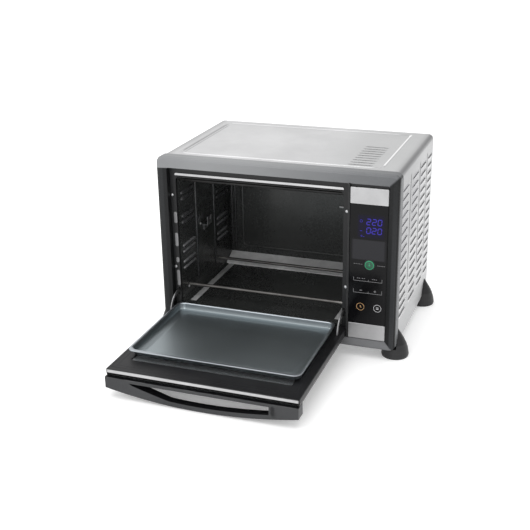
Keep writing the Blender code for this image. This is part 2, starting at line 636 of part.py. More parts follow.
def build():
    clear_scene()
    base = empty("oven", (0, 0, 0))
    root = empty("body", (0, 0, 0), base)
    door = empty("door_axis", (0, HINGE_Y, HINGE_Z), base)
    tray = empty("tray_rest", (0, TRAY_Y[1], TRAY_Z[0]), door)
    button = empty("button_axis", (BUTTON_X, 0.0, BUTTON_Z), base)
    spit = empty("spit_axis", (MOUTH_X[1], SPIT_Y, SPIT_Z), base)
    fan = empty("fan_axis", (MOUTH_X[1], FAN_Y, FAN_Z), base)

    front_bezel(root)
    divider_bar(root)
    mouth_frame(root)
    opening_strip(root)
    outer_casing(root)
    rear_cover(root)
    base_plate(root)
    for side, tag in ((-1, "left"), (1, "right")):
        foot(root, "foot_front_" + tag, side, FOOT_Y[0])
        foot(root, "foot_rear_" + tag, side, FOOT_Y[1])
    cavity_liner(root)
    for z, tag in zip(ELEMENT_Z, ("lower", "upper")):
        element(root, tag + "_front_element", ELEMENT_Y[0], z)
        element(root, tag + "_rear_element", ELEMENT_Y[1], z)
    spit_bracket(root)
    spit_drive(spit)
    spit_motor(root)
    fan_blade(fan)
    fan_grille(root)
    fan_motor(root)
    temperature_probe(root)
    door_frame(door)
    door_glass(door)
    door_top_trim(door)
    door_handle(door)
    door_stay(door, "door_stay_right", STAY_X[0])
    door_stay(door, "door_stay_left", STAY_X[1])
    hinge_pin(root, "hinge_pin_right", (0.1320, 0.1403))
    hinge_pin(root, "hinge_pin_left", (-0.2150, -0.2070))
    crumb_tray(tray)
    control_panel(root)
    button_ring(root)
    start_button(button)
    electronics(root)
    cord_gland(root)
    base.location = (0, SHIFT_Y, FOOT_DROP)


build()
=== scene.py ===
import math

import bmesh
import bpy
from mathutils import Matrix, Vector


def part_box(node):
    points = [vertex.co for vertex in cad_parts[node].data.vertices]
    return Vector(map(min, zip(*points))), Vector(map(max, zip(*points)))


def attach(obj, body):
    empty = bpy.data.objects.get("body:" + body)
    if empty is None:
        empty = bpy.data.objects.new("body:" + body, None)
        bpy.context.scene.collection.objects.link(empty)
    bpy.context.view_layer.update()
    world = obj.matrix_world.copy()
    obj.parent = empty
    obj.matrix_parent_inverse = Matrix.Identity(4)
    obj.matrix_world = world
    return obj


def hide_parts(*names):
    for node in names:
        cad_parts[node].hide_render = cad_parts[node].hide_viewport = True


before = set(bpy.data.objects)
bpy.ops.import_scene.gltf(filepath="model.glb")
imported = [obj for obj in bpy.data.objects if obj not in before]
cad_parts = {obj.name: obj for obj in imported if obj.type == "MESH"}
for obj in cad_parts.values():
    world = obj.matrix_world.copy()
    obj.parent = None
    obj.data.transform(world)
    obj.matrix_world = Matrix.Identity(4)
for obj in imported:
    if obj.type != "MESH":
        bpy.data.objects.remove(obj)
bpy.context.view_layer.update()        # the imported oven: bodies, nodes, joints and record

# ---------------- places
# Pieces are drawn in the oven's own coordinates: Y = 0 is the bezel's face and
# Z = 0 the height from which the bezel starts at 16 mm.  SHIFT takes them to the frame.
bezel_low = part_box("front_bezel")[0]
BEZEL_START = 0.016
SHIFT = Vector((0.0, bezel_low.y, bezel_low.z - BEZEL_START))
RISE = SHIFT.z
X, Y, Z = (1, 0, 0), (0, 1, 0), (0, 0, 1)
FAR = 9.0                # the end of a band that has no end on the oven


def own(node):
    """Lowest and highest corner of a CAD node in the oven's own coordinates."""
    low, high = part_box(node)
    return low - SHIFT, high - SHIFT


CASE_LOW, CASE_HIGH = own("outer_casing")
LINER_LOW, LINER_HIGH = own("cavity_liner")
TRAY_LOW, TRAY_HIGH = own("crumb_tray")
DOOR_LOW, DOOR_HIGH = own("door_frame")
MOUTH_LOW, MOUTH_HIGH = own("mouth_frame")
BUTTON_LOW, BUTTON_HIGH = own("start_button")
GLASS_LOW = own("panel_glass")[0]
REAR_HIGH = own("rear_cover")[1]
BASE_LOW = own("base_plate")[0]
LINER_WALL = 0.0010
INSIDE_LEFT, INSIDE_RIGHT = LINER_LOW.x + LINER_WALL, LINER_HIGH.x - LINER_WALL
INSIDE_FLOOR, INSIDE_BACK = LINER_LOW.z + LINER_WALL, LINER_HIGH.y - LINER_WALL
SIDE_GROOVES = (0.1050, 0.1900, 0.2590)                                # along Y
TOP_BEAD_X, TOP_BEAD_Y = (-0.2040, 0.1915), (0.0420, 0.2960)

# Turns that lay a part drawn on a flat face (X across, Y up, Z outwards) on a side.
FACES = {"top": (0, 0, 0), "under": (180, 0, 0), "front": (90, 0, 0),
         "right": (90, 0, 90), "left": (90, 0, -90), "rear": (90, 0, 180)}


# ---------------- node helpers
def socket(value):
    """A node stands for its first output; anything else stands for itself."""
    return value.outputs[0] if isinstance(value, bpy.types.Node) else value


def add(tree, kind, inputs=None, **settings):
    """A node with its settings, and each input either joined to a socket or given a value."""
    node = tree.nodes.new(kind)
    for key, value in settings.items():
        setattr(node, key, value)
    for key, value in (inputs or {}).items():
        value = socket(value)
        if isinstance(value, bpy.types.NodeSocket):
            tree.links.new(value, node.inputs[key])
        else:
            node.inputs[key].default_value = value
    return node


def calc(tree, operation, *values, **settings):
    return add(tree, "ShaderNodeMath", dict(enumerate(values)), operation=operation, **settings)


def vector_calc(tree, operation, *values):
    return add(tree, "ShaderNodeVectorMath", dict(enumerate(values)), operation=operation)


def ramp(tree, value, low, high):
    """Nought where the value is low, one where it is high."""
    return add(tree, "ShaderNodeMapRange", {0: value, 1: low, 2: high})


def blend(tree, mask, below, above):
    mix = add(tree, "ShaderNodeMix", {0: mask, 6: below, 7: above}, data_type="RGBA")
    return mix.outputs[2]


# ---------------- shader groups
def new_group(name, **values):
    """A shader group that takes Place and the named values; a value's length gives its kind."""
    tree = bpy.data.node_groups.new(name, "ShaderNodeTree")
    for label, value in {"Place": (0, 0, 0), **values}.items():
        kind = {3: "Vector", 4: "Color"}[len(value)] if isinstance(value, tuple) else "Float"
        made = tree.interface.new_socket(label, in_out="INPUT", socket_type="NodeSocket" + kind)
        made.default_value = value
    return tree, tree.nodes.new("NodeGroupInput").outputs


def close_group(tree, **results):
    """The outputs of a group: Tone is a colour, and the others are numbers."""
    for label in results:
        kind = "Color" if label == "Tone" else "Float"
        tree.interface.new_socket(label, in_out="OUTPUT", socket_type="NodeSocket" + kind)
    end = tree.nodes.new("NodeGroupOutput")
    for label, value in results.items():
        tree.links.new(socket(value), end.inputs[label])
    return tree


def mottle_group():
    """Slow change between two tones, as on cast, rolled or wiped surfaces."""
    tree, get = new_group("Mottled tone", Scale=12.0, Dark=(0, 0, 0, 1), Light=(1, 1, 1, 1),
                          Low=0.35, High=0.65)
    noise = add(tree, "ShaderNodeTexNoise", {"Vector": get["Place"], "Scale": get["Scale"],
                                             "Detail": 5.0, "Roughness": 0.6})
    mask = ramp(tree, noise, get["Low"], get["High"])
    return close_group(tree, Tone=blend(tree, mask, get["Dark"], get["Light"]), Mask=mask)


def grain_group():
    """Fine grain, drawn out by Stretch, as a height and as a change of roughness."""
    tree, get = new_group("Grain", Stretch=(1, 1, 1), Scale=400.0, Rough=0.4, Spread=0.1)
    drawn = vector_calc(tree, "MULTIPLY", get["Place"], get["Stretch"])
    noise = add(tree, "ShaderNodeTexNoise", {"Vector": drawn, "Scale": get["Scale"],
                                             "Detail": 4.0, "Roughness": 0.65})
    middle = calc(tree, "SUBTRACT", noise, 0.5)
    rough = calc(tree, "MULTIPLY_ADD", middle, get["Spread"], get["Rough"], use_clamp=True)
    return close_group(tree, Height=noise, Roughness=rough)


def fleck_group():
    """Scattered specks: grit in moulded plastic, flecks in enamel, dust on steel."""
    tree, get = new_group("Flecks", Scale=900.0, Size=0.25, Share=0.5)
    cells = add(tree, "ShaderNodeTexVoronoi", {"Vector": get["Place"], "Scale": get["Scale"]})
    chosen = add(tree, "ShaderNodeSeparateColor", {0: cells.outputs["Color"]})
    some = calc(tree, "LESS_THAN", chosen, get["Share"])
    dots = ramp(tree, cells, get["Size"], 0.0)
    return close_group(tree, Mask=calc(tree, "MULTIPLY", dots, some))


def band_group():
    """One where a place, measured along Axis, lies between From and To."""
    tree, get = new_group("Band", Axis=(1, 0, 0), From=0.0, To=1.0, Soft=0.0005)
    along = vector_calc(tree, "DOT_PRODUCT", get["Place"], get["Axis"]).outputs["Value"]
    masks = []
    for edge in ("From", "To"):
        share = calc(tree, "DIVIDE", calc(tree, "SUBTRACT", along, get[edge]), get["Soft"])
        masks.append(add(tree, "ShaderNodeMapRange", {0: share, 1: -1.0, 2: 1.0},
                         interpolation_type="SMOOTHSTEP"))
    return close_group(tree, Mask=calc(tree, "SUBTRACT", *masks, use_clamp=True))


def wear_group():
    """One on the edges of a box-shaped piece, where two of its faces meet, broken up by noise."""
    tree, get = new_group("Edge wear", Low=(0, 0, 0), High=(1, 1, 1), Width=0.001, Scale=60.0)
    gaps = [vector_calc(tree, "ABSOLUTE", vector_calc(tree, "SUBTRACT", get["Place"], get[corner]))
            for corner in ("Low", "High")]
    near = add(tree, "ShaderNodeSeparateXYZ", {0: vector_calc(tree, "MINIMUM", *gaps)})
    x, y, z = near.outputs
    rest = calc(tree, "MINIMUM", calc(tree, "MAXIMUM", x, y), z)
    second = calc(tree, "MAXIMUM", calc(tree, "MINIMUM", x, y), rest)
    noise = add(tree, "ShaderNodeTexNoise", {"Vector": get["Place"], "Scale": get["Scale"],
                                             "Detail": 4.0})
    edge = ramp(tree, second, get["Width"], 0.0)
    mask = calc(tree, "MULTIPLY", edge, ramp(tree, noise, 0.4, 0.6), use_clamp=True)
    return close_group(tree, Mask=mask)


MOTTLE, GRAIN, FLECKS, BAND, WEAR = (
    mottle_group(), grain_group(), fleck_group(), band_group(), wear_group())


# ---------------- finishes
FINISHES = {}


class Finish:
    """A material being made: a mottled tone, a grain, and layers laid over them."""

    def __init__(self, name, dark, light, rough, metal=0.0, blotch=14.0, stretch=(1, 1, 1),
                 fine=500.0, spread=0.1, bump=0.15, depth=0.00005, **plain):
        FINISHES[name] = self
        self.mat = bpy.data.materials.new(name)
        self.mat.use_nodes = True
        self.tree = self.mat.node_tree
        self.shader = self.tree.nodes["Principled BSDF"]
        self.shader.inputs["Metallic"].default_value = metal
        for key, value in plain.items():
            self.shader.inputs[key.replace("_", " ")].default_value = value
        self.place = self.tree.nodes.new("ShaderNodeTexCoord").outputs["Object"]
        tone = self.use(MOTTLE, Scale=blotch, Dark=(*dark, 1), Light=(*light, 1))
        self.join(tone.outputs["Tone"], "Base Color")
        grain = self.use(GRAIN, Stretch=stretch, Scale=fine, Rough=rough, Spread=spread)
        self.join(grain.outputs["Roughness"], "Roughness")
        relief = add(self.tree, "ShaderNodeBump", {"Height": grain.outputs["Height"],
                     "Strength": bump, "Distance": depth})
        self.join(relief, "Normal")

    def use(self, group, **values):
        """A shader group placed in the material; its first output is its mask or tone."""
        node = self.tree.nodes.new("ShaderNodeGroup")
        node.node_tree = group
        self.tree.links.new(self.place, node.inputs["Place"])
        for key, value in values.items():
            node.inputs[key].default_value = value
        return node

    def join(self, output, name):
        self.tree.links.new(socket(output), self.shader.inputs[name])

    def below(self, name):
        return self.shader.inputs[name].links[0].from_socket

    def over(self, mask, colour, share=1.0):
        """A colour laid over the tone where the mask is one."""
        part = calc(self.tree, "MULTIPLY", mask, share)
        self.join(blend(self.tree, part, self.below("Base Color"), (*colour, 1)), "Base Color")

    def zone(self, axis, start, stop, soft):
        """The mask of a band between two places along an axis."""
        return self.use(BAND, Axis=axis, From=start, To=stop, Soft=soft)

    def band(self, axis, start, stop, soft, colour, share=1.0):
        self.over(self.zone(axis, start, stop, soft), colour, share)

    def times(self, first, *others):
        """One where all the masks are one."""
        for other in others:
            first = calc(self.tree, "MULTIPLY", first, other)
        return first

    def both(self, first, second):
        """The mask where both of two bands hold; each is (axis, from, to, soft)."""
        return self.times(self.zone(*first), self.zone(*second))

    def turned(self):
        """The parts of the surface's normal along X, Y and Z."""
        normal = self.tree.nodes.new("ShaderNodeTexCoord").outputs["Normal"]
        return add(self.tree, "ShaderNodeSeparateXYZ", {0: normal}).outputs

    def flecks(self, scale, size, share, colour, strength=1.0):
        self.over(self.use(FLECKS, Scale=scale, Size=size, Share=share), colour, strength)

    def worn(self, node, width, colour, share=0.6):
        """Rubbed edges on a box-shaped CAD node."""
        low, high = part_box(node)
        self.over(self.use(WEAR, Low=low, High=high, Width=width, Scale=60.0), colour, share)

    def smudged(self, scale, amount):
        """Roughness raised in patches."""
        mask = self.use(MOTTLE, Scale=scale).outputs["Mask"]
        self.join(calc(self.tree, "MULTIPLY_ADD", mask, amount, self.below("Roughness"),
                       use_clamp=True), "Roughness")

    def lit(self, colour, power):
        """Light given off by the surface."""
        self.shader.inputs["Emission Color"].default_value = (*colour, 1)
        self.shader.inputs["Emission Strength"].default_value = power


def steel(name, dark, light, rough, stretch, bump=0.10, **more):
    return Finish(name, dark, light, rough, metal=1.0, stretch=stretch, fine=700.0,
                  spread=0.16, bump=bump, depth=0.00003, **more)


def ink(name, colour):
    """Printed marks and lit segments."""
    return Finish(name, colour, tuple(c * 0.85 for c in colour), 0.5, blotch=200.0, fine=900.0)


def bezel_finish():
    """Gunmetal paint above and below, black inlays at the sides, mitred at the corners."""
    f = Finish("bezel_plastic", (0.085, 0.088, 0.094), (0.105, 0.109, 0.115), 0.42, metal=0.4,
               stretch=(0.06, 1, 1), fine=900.0, spread=0.12, bump=0.12, Specular_IOR_Level=0.30)
    # painted light and shade: the bezel is painted lighter towards the left end and darker towards
    # the right
    f.band(X, -0.34, 0.12, 0.28, (0.36, 0.365, 0.37), 0.62)
    f.band(Z, bezel_low.z - 0.01, bezel_low.z + 0.019, 0.0004, (0.13, 0.132, 0.137), 0.75)
    side = 0.2143
    # the right inlay's upper end is mitred, and the left one's is cut straight
    right_top = ((1, 0, -1), side - 0.3340 - RISE, FAR, 0.0030)
    left_top = ((0, 0, -1), -0.3335 - RISE, FAR, 0.0008)
    for way, outer, upper, stripe_top, share in ((1, 0.2342, right_top, 0.26, 0.6),
                                                 (-1, 0.2400, left_top, 0.5, 0.3)):
        axis = (way, 0, 0)
        mitre = f.both(upper, ((way, 0, 1), side + 0.0330 + RISE, FAR, 0.0010))
        f.over(f.times(f.zone(axis, side, outer, 0.0003), mitre), (0.010, 0.0105, 0.011))
        stripe = f.both((axis, 0.2225, 0.2310, 0.0012), (Z, -0.1, stripe_top, 0.16))
        f.over(f.times(stripe, mitre), (0.045, 0.047, 0.05), share)
    f.flecks(1400.0, 0.3, 0.5, (0.32, 0.33, 0.34), 0.25)
    f.worn("front_bezel", 0.0007, (0.35, 0.35, 0.36), 0.35)


def grey_reflection_zone(f):
    """The mask of a side's upper front corner, where a grey reflection is painted."""
    return f.both(((0, -0.55, 1), 0.155, FAR, 0.045), (Y, -FAR, 0.17, 0.10))


def casing_finish():
    """Light satin steel, with painted shade in its pressed grooves, on its sides, along its rounded
    edges and beside its beads, and a painted highlight on one bead.
    """
    f = steel("casing_steel", (0.56, 0.56, 0.565), (0.66, 0.66, 0.665), 0.40, (1, 0.05, 1),
              blotch=6.0)
    f.smudged(3.5, 0.10)
    f.flecks(420.0, 0.18, 0.10, (0.42, 0.42, 0.43), 0.35)
    on_top = f.zone(Z, CASE_HIGH.z + RISE - 0.004, FAR, 0.001)
    # Painted shade: faces turned sideways are painted darker than the top, and a painted grey
    # reflection darkens their upper front corner.
    turned = f.turned()
    flank = calc(f.tree, "ABSOLUTE", turned[0])
    sides = ramp(f.tree, flank, 0.3, 0.95)
    f.over(sides, (0.52, 0.52, 0.53), 0.8)
    f.over(f.times(grey_reflection_zone(f), sides), (0.29, 0.29, 0.305), 0.8)
    # Painted shade: the casing is darker towards the right.
    f.band(X, 0.08, FAR, 0.05, (0.47, 0.475, 0.475), 0.6)
    # Painted shade along the rounded edges between the top and the sides.
    shade_line = (0.25, 0.25, 0.255)
    for way, start in ((1, 0.2240), (-1, 0.2200)):
        f.over(f.times(f.zone((way, 0, 0), start, FAR, 0.012), on_top), shade_line, 0.75)
    f.over(ramp(f.tree, f.times(flank, turned[2]), 0.15, 0.5), (0.185, 0.185, 0.19), 0.8)
    # Painted shade in the side grooves.
    for groove in SIDE_GROOVES:
        y = groove + SHIFT.y
        f.over(f.both((Y, y - 0.0024, y + 0.0024, 0.0005),
                      (Z, 0.122 + RISE, 0.330 + RISE, 0.004)), (0.060, 0.060, 0.063), 0.92)
    # Painted shade: thin dark lines beside the top's beads.
    lines = [((X, x - 0.0005, x + 0.0005, 0.0006), (Y, 0.048 + SHIFT.y, 0.290 + SHIFT.y, 0.006))
             for x in (TOP_BEAD_X[0] + 0.0034, TOP_BEAD_X[0] - 0.0030)]
    lines += [((Y, y + SHIFT.y - 0.0005, y + SHIFT.y + 0.0005, 0.0006), (X, -0.198, 0.189, 0.006))
              for y in (TOP_BEAD_Y[1] - 0.0034, TOP_BEAD_Y[1] + 0.0032)]
    for pair in lines:
        f.over(f.times(f.both(*pair), on_top), shade_line, 0.55)
    # A painted highlight along the right bead.
    bead_highlight = f.both((X, TOP_BEAD_X[1] - 0.0022, TOP_BEAD_X[1] + 0.0016, 0.0008),
                    (Y, 0.058 + SHIFT.y, 0.298 + SHIFT.y, 0.006))
    f.over(f.times(bead_highlight, on_top), (0.95, 0.95, 0.95), 0.9)


def metal_finishes():
    """The other metals: trim, sheet, enamel, rods, bracket, tray and plates."""
    f = steel("polished_steel", (0.46, 0.46, 0.465), (0.54, 0.54, 0.545), 0.26, (0.04, 1, 1),
              blotch=30.0)
    f.flecks(700.0, 0.2, 0.15, (0.45, 0.45, 0.46), 0.3)
    strip_low, strip_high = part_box("opening_strip")
    # Painted shade: the strip is darker towards the left. It is also painted black below a thin
    # band and near black along its top edge.
    f.band(X, -FAR, -0.02, 0.16, (0.34, 0.34, 0.35), 0.45)
    f.band(Z, -FAR, strip_low.z + 0.0022, 0.0003, (0.012, 0.012, 0.012))
    f.band(Z, strip_high.z - 0.0006, FAR, 0.0003, (0.05, 0.05, 0.05), 0.8)
    f = Finish("zinc_sheet", (0.46, 0.47, 0.48), (0.52, 0.53, 0.54), 0.42, metal=1.0, blotch=45.0,
               fine=300.0, spread=0.22, bump=0.08)
    f.flecks(190.0, 0.5, 0.5, (0.56, 0.57, 0.58), 0.4)
    f = Finish("liner_enamel", (0.038, 0.040, 0.039), (0.054, 0.056, 0.055), 0.22, metal=0.35,
               blotch=9.0, fine=260.0, spread=0.18, bump=0.08)
    f.flecks(520.0, 0.22, 0.25, (0.10, 0.10, 0.105), 0.3)
    f.smudged(7.0, 0.10)
    f = Finish("element_sheath", (0.11, 0.105, 0.10), (0.18, 0.175, 0.17), 0.36, metal=0.9,
               stretch=(0.2, 1, 1), blotch=22.0)
    for ends in ((-0.30, -0.185), (0.108, 0.30)):
        f.band(X, *ends, 0.010, (0.40, 0.39, 0.37), 0.5)
    steel("bracket_steel", (0.46, 0.46, 0.47), (0.62, 0.62, 0.63), 0.30, (1, 1, 0.1), blotch=40.0)
    f = steel("tray_steel", (0.42, 0.455, 0.485), (0.48, 0.51, 0.54), 0.36, (1, 0.3, 1), bump=0.03,
              blotch=4.0)
    f.smudged(5.0, 0.04)
    # Painted shade: the tray's walls, turned sideways, and its floor are painted darker.
    f.over(ramp(f.tree, f.turned()[2], 0.80, 0.45), (0.17, 0.19, 0.20), 0.75)
    f.band(Z, -FAR, TRAY_LOW.z + RISE + 0.004, 0.003, (0.34, 0.385, 0.40), 0.8)
    f = steel("brushed_plate", (0.38, 0.38, 0.385), (0.45, 0.45, 0.455), 0.38, (0.05, 1, 1),
              blotch=20.0)
    f.worn("panel_top_plate", 0.0006, (0.85, 0.85, 0.85), 0.6)
    f = steel("trim_steel", (0.40, 0.40, 0.405), (0.48, 0.48, 0.485), 0.28, (0.05, 1, 1))
    trim_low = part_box("door_top_trim")[0]
    f.band(Z, -1.0, trim_low.z + 0.0026, 0.0002, (0.004, 0.004, 0.004))
    Finish("stay_steel", (0.20, 0.20, 0.205), (0.30, 0.30, 0.305), 0.42, metal=0.9, fine=600.0)
    Finish("upper_rod", (0.020, 0.020, 0.020), (0.035, 0.034, 0.033), 0.45, metal=0.6)


def pressed_finishes():
    """Louvres and the painted shade in their mouths, the rack rails and the ledges of the floor."""
    f = steel("louvre_shade", (0.24, 0.24, 0.245), (0.29, 0.29, 0.295), 0.55, (1, 0.1, 1))
    # The painted grey reflection fades the mouths' painted shade in the upper front corner.
    f.over(grey_reflection_zone(f), (0.52, 0.52, 0.535), 0.95)
    # The hoods are a lighter copy of the side steel, a painted highlight; the painted grey
    # reflection darkens them in the upper front corner.
    f = steel("louvre_steel", (0.60, 0.60, 0.605), (0.67, 0.67, 0.675), 0.40, (1, 0.1, 1))
    f.over(grey_reflection_zone(f), (0.38, 0.38, 0.395), 0.95)
    steel("top_slit_shade", (0.36, 0.36, 0.365), (0.42, 0.42, 0.425), 0.5, (0.1, 1, 1))
    rail_tone = (0.050, 0.051, 0.053)
    f = Finish("rail_enamel", (0.035, 0.036, 0.037), rail_tone, 0.28, metal=0.35, fine=260.0,
               bump=0.1)
    # A painted highlight on the rails' upward faces; above 0.195 m the rails are painted back to
    # their dark tone, as painted shade.
    f.over(ramp(f.tree, f.turned()[2], 0.15, 0.8), (0.32, 0.32, 0.33), 0.8)
    f.band(Z, 0.195, FAR, 0.02, rail_tone, 0.8)
    f = Finish("floor_edge_grey", (0.62, 0.62, 0.62), (0.92, 0.92, 0.92), 0.34, blotch=24.0,
               fine=300.0, bump=0.1)
    # Painted light: the ledge is lighter at the left and darker towards the right; towards the
    # front it is painted darker.
    f.band(X, -0.02, FAR, 0.10, (0.50, 0.50, 0.505), 0.8)
    f.band(Y, -FAR, 0.20, 0.02, (0.30, 0.30, 0.30), 0.7)


def plastic_finishes():
    """Moulded plastics, boards and components."""
    f = Finish("jamb_black", (0.009, 0.0092, 0.010), (0.015, 0.0155, 0.016), 0.42, fine=900.0,
               bump=0.2, Specular_IOR_Level=0.30)
    f.flecks(1300.0, 0.3, 0.4, (0.05, 0.05, 0.052), 0.4)
    f.worn("divider_bar", 0.0006, (0.12, 0.12, 0.12), 0.5)
    f = Finish("foot_plastic", (0.007, 0.007, 0.008), (0.012, 0.012, 0.013), 0.46, fine=1100.0,
               bump=0.3, Specular_IOR_Level=0.30)
    f.band(Z, -0.01, 0.0265, 0.0008, (0.022, 0.022, 0.023), 0.9)
    f.flecks(1200.0, 0.3, 0.4, (0.05, 0.05, 0.05), 0.35)
    f = Finish("door_black", (0.006, 0.006, 0.007), (0.011, 0.011, 0.012), 0.40, fine=1000.0,
               bump=0.22, Specular_IOR_Level=0.25)
    f.worn("door_frame", 0.0008, (0.10, 0.10, 0.10), 0.5)
    f.flecks(1200.0, 0.3, 0.35, (0.04, 0.04, 0.042), 0.4)
    f = Finish("handle_grey", (0.030, 0.031, 0.033), (0.040, 0.041, 0.043), 0.40, fine=1000.0,
               bump=0.2, Specular_IOR_Level=0.30)
    turned = f.turned()
    # Painted shade: faces turned up, and faces turned towards the oven, are painted near black.
    f.over(ramp(f.tree, turned[2], 0.35, 0.6), (0.004, 0.004, 0.005))
    f.over(ramp(f.tree, turned[1], 0.35, 0.6), (0.006, 0.006, 0.007))
    f.flecks(1200.0, 0.3, 0.4, (0.09, 0.09, 0.092), 0.3)
    f.worn("door_handle", 0.0010, (0.16, 0.16, 0.16), 0.5)
    f = Finish("circuit_board", (0.010, 0.085, 0.030), (0.016, 0.12, 0.045), 0.35, blotch=90.0,
               fine=400.0)
    f.flecks(260.0, 0.35, 0.5, (0.55, 0.50, 0.35), 0.9)
    f = Finish("component_black", (0.012, 0.012, 0.013), (0.022, 0.022, 0.023), 0.45, fine=900.0)
    f.flecks(900.0, 0.3, 0.4, (0.08, 0.08, 0.08), 0.3)
    f = Finish("nylon_white", (0.62, 0.61, 0.58), (0.70, 0.69, 0.66), 0.42, fine=700.0, bump=0.1)
    f.flecks(500.0, 0.3, 0.3, (0.50, 0.49, 0.46), 0.4)


def glass_finishes():
    """The door's panes, the panel's glass, the start button and what is printed or lit."""
    Finish("door_glass", (0.50, 0.52, 0.54), (0.55, 0.57, 0.59), 0.03, fine=60.0, spread=0.02,
           bump=0.005, IOR=1.5, Transmission_Weight=0.9)
    Finish("smoked_glass", (0.010, 0.0105, 0.011), (0.014, 0.0145, 0.015), 0.07, fine=60.0,
           spread=0.02, bump=0.0, IOR=1.45, Specular_IOR_Level=0.40, Alpha=0.80)
    f = Finish("panel_black", (0.0025, 0.0025, 0.003), (0.0040, 0.0040, 0.0045), 0.10, fine=200.0,
               spread=0.06, bump=0.01, Specular_IOR_Level=0.16)
    # A dark blue tint over the display window, and below it a lighter band that is a painted
    # reflection.
    for across, up, soft, colour in (
            ((0.1600, 0.2075), (0.2360, 0.2775), 0.004, (0.003, 0.002, 0.014)),
            ((0.1500, 0.2100), (0.1930, 0.2310), 0.0012, (0.020, 0.020, 0.023))):
        f.over(f.both((X, *across, 0.003), (Z, up[0] + RISE, up[1] + RISE, soft)), colour)
    f.smudged(30.0, 0.06)
    f = Finish("button_green", (0.003, 0.022, 0.012), (0.004, 0.030, 0.017), 0.25, fine=900.0)
    f.lit((0.002, 0.05, 0.022), 1.0)
    ink("white_ink", (0.21, 0.21, 0.215))
    ink("symbol_ink", (0.62, 0.62, 0.63))
    ink("gold_ink", (0.60, 0.36, 0.16))
    ink("blue_light", (0.006, 0.004, 0.06)).lit((0.045, 0.015, 0.90), 0.42)
    ink("green_light", (0.01, 0.14, 0.07)).lit((0.04, 0.70, 0.30), 0.34)


bezel_finish()
casing_finish()
metal_finishes()
pressed_finishes()
plastic_finishes()
glass_finishes()

# CAD nodes that look different from the rest of their material slot.
SPECIAL = {"divider_bar": "jamb_black", "button_ring": "jamb_black",
           "door_outer_glass": "smoked_glass", "upper_front_element": "upper_rod",
           "door_stay_left": "stay_steel", "door_stay_right": "stay_steel",
           "temperature_probe": "stay_steel", "door_top_trim": "trim_steel"}
for name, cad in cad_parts.items():
    slot = cad.material_slots[0]
    slot.material = FINISHES[SPECIAL.get(name, slot.material.name.split(".")[0])].mat


# ---------------- shaping tools
def piece(name, bm, body, slot, finish=None, replaces=(), smooth=35, edge=0.0):
    """bm, drawn in the oven's own coordinates, becomes a piece that rides on body.

    Its finish is its material slot's, unless another one is named."""
    bmesh.ops.recalc_face_normals(bm, faces=bm.faces)
    bmesh.ops.translate(bm, verts=bm.verts, vec=SHIFT)
    mesh = bpy.data.meshes.new(name)
    bm.to_mesh(mesh)
    bm.free()
    mesh.materials.append(FINISHES[finish or slot].mat)
    mesh.shade_smooth()
    mesh.set_sharp_from_angle(angle=math.radians(smooth))
    ob = bpy.data.objects.new(name, mesh)
    bpy.context.scene.collection.objects.link(ob)
    if edge:
        mod = ob.modifiers.new("edges", "BEVEL")
        mod.width, mod.segments = edge, 2
        mod.limit_method, mod.angle_limit = "ANGLE", math.radians(40)
        bpy.context.view_layer.update()
        graph = bpy.context.evaluated_depsgraph_get()
        ob.data = bpy.data.meshes.new_from_object(ob.evaluated_get(graph))
        ob.modifiers.remove(mod)
    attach(ob, body)
    if replaces:
        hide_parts(*replaces)


def loft(bm, loops, closed=False):
    """Skins closed loops of points; closed joins the last to the first, else both are capped."""
    rings = [[bm.verts.new(p) for p in loop] for loop in loops]
    pairs = list(zip(rings, rings[1:])) + ([(rings[-1], rings[0])] if closed else [])
    for a, b in pairs:
        count = len(a)
        for i in range(count):
            bm.faces.new((a[i], a[(i + 1) % count], b[(i + 1) % count], b[i]))
    if not closed:
        bm.faces.new(rings[0][::-1])
        bm.faces.new(rings[-1])


def block(bm, x, y, z, edge=0.0004):
    """A box with rounded edges."""
    made = bmesh.ops.create_cube(bm, size=1.0)["verts"]
    size = Matrix.Diagonal((x[1] - x[0], y[1] - y[0], z[1] - z[0], 1))
    middle = Matrix.Translation(((x[0] + x[1]) / 2, (y[0] + y[1]) / 2, (z[0] + z[1]) / 2))
    bmesh.ops.transform(bm, matrix=middle @ size, verts=made)
    edges = {e for v in made for e in v.link_edges}
    bmesh.ops.bevel(bm, geom=list(edges), offset=edge, segments=2, affect="EDGES", profile=0.5)


def round_rect(u, v, radius, steps=5):
    """Points (u, v) round a rectangle with rounded corners."""
    points = []
    for k, (cu, cv) in enumerate([(u[1] - radius, v[1] - radius), (u[0] + radius, v[1] - radius),
                                  (u[0] + radius, v[0] + radius), (u[1] - radius, v[0] + radius)]):
        for i in range(steps + 1):
            angle = math.radians(90 * k + 90 * i / steps)
            points.append((cu + radius * math.cos(angle), cv + radius * math.sin(angle)))
    return points


def level(points, z):
    return [Vector((u, v, z)) for u, v in points]


def facing(points, y):
    return [Vector((u, y, v)) for u, v in points]


def bead(bm, u, v, radius, section, lay):
    """A section of (inset, height) points carried round a rounded rectangle."""
    loops = []
    for s, h in section:
        outline = round_rect((u[0] + s, u[1] - s), (v[0] + s, v[1] - s), max(radius - s, 0.0002))
        loops.append(lay(outline, h))
    loft(bm, loops, closed=True)


def circle(sides):
    """Cosine and sine at even steps round a circle."""
    return [(math.cos(math.tau * i / sides), math.sin(math.tau * i / sides)) for i in range(sides)]


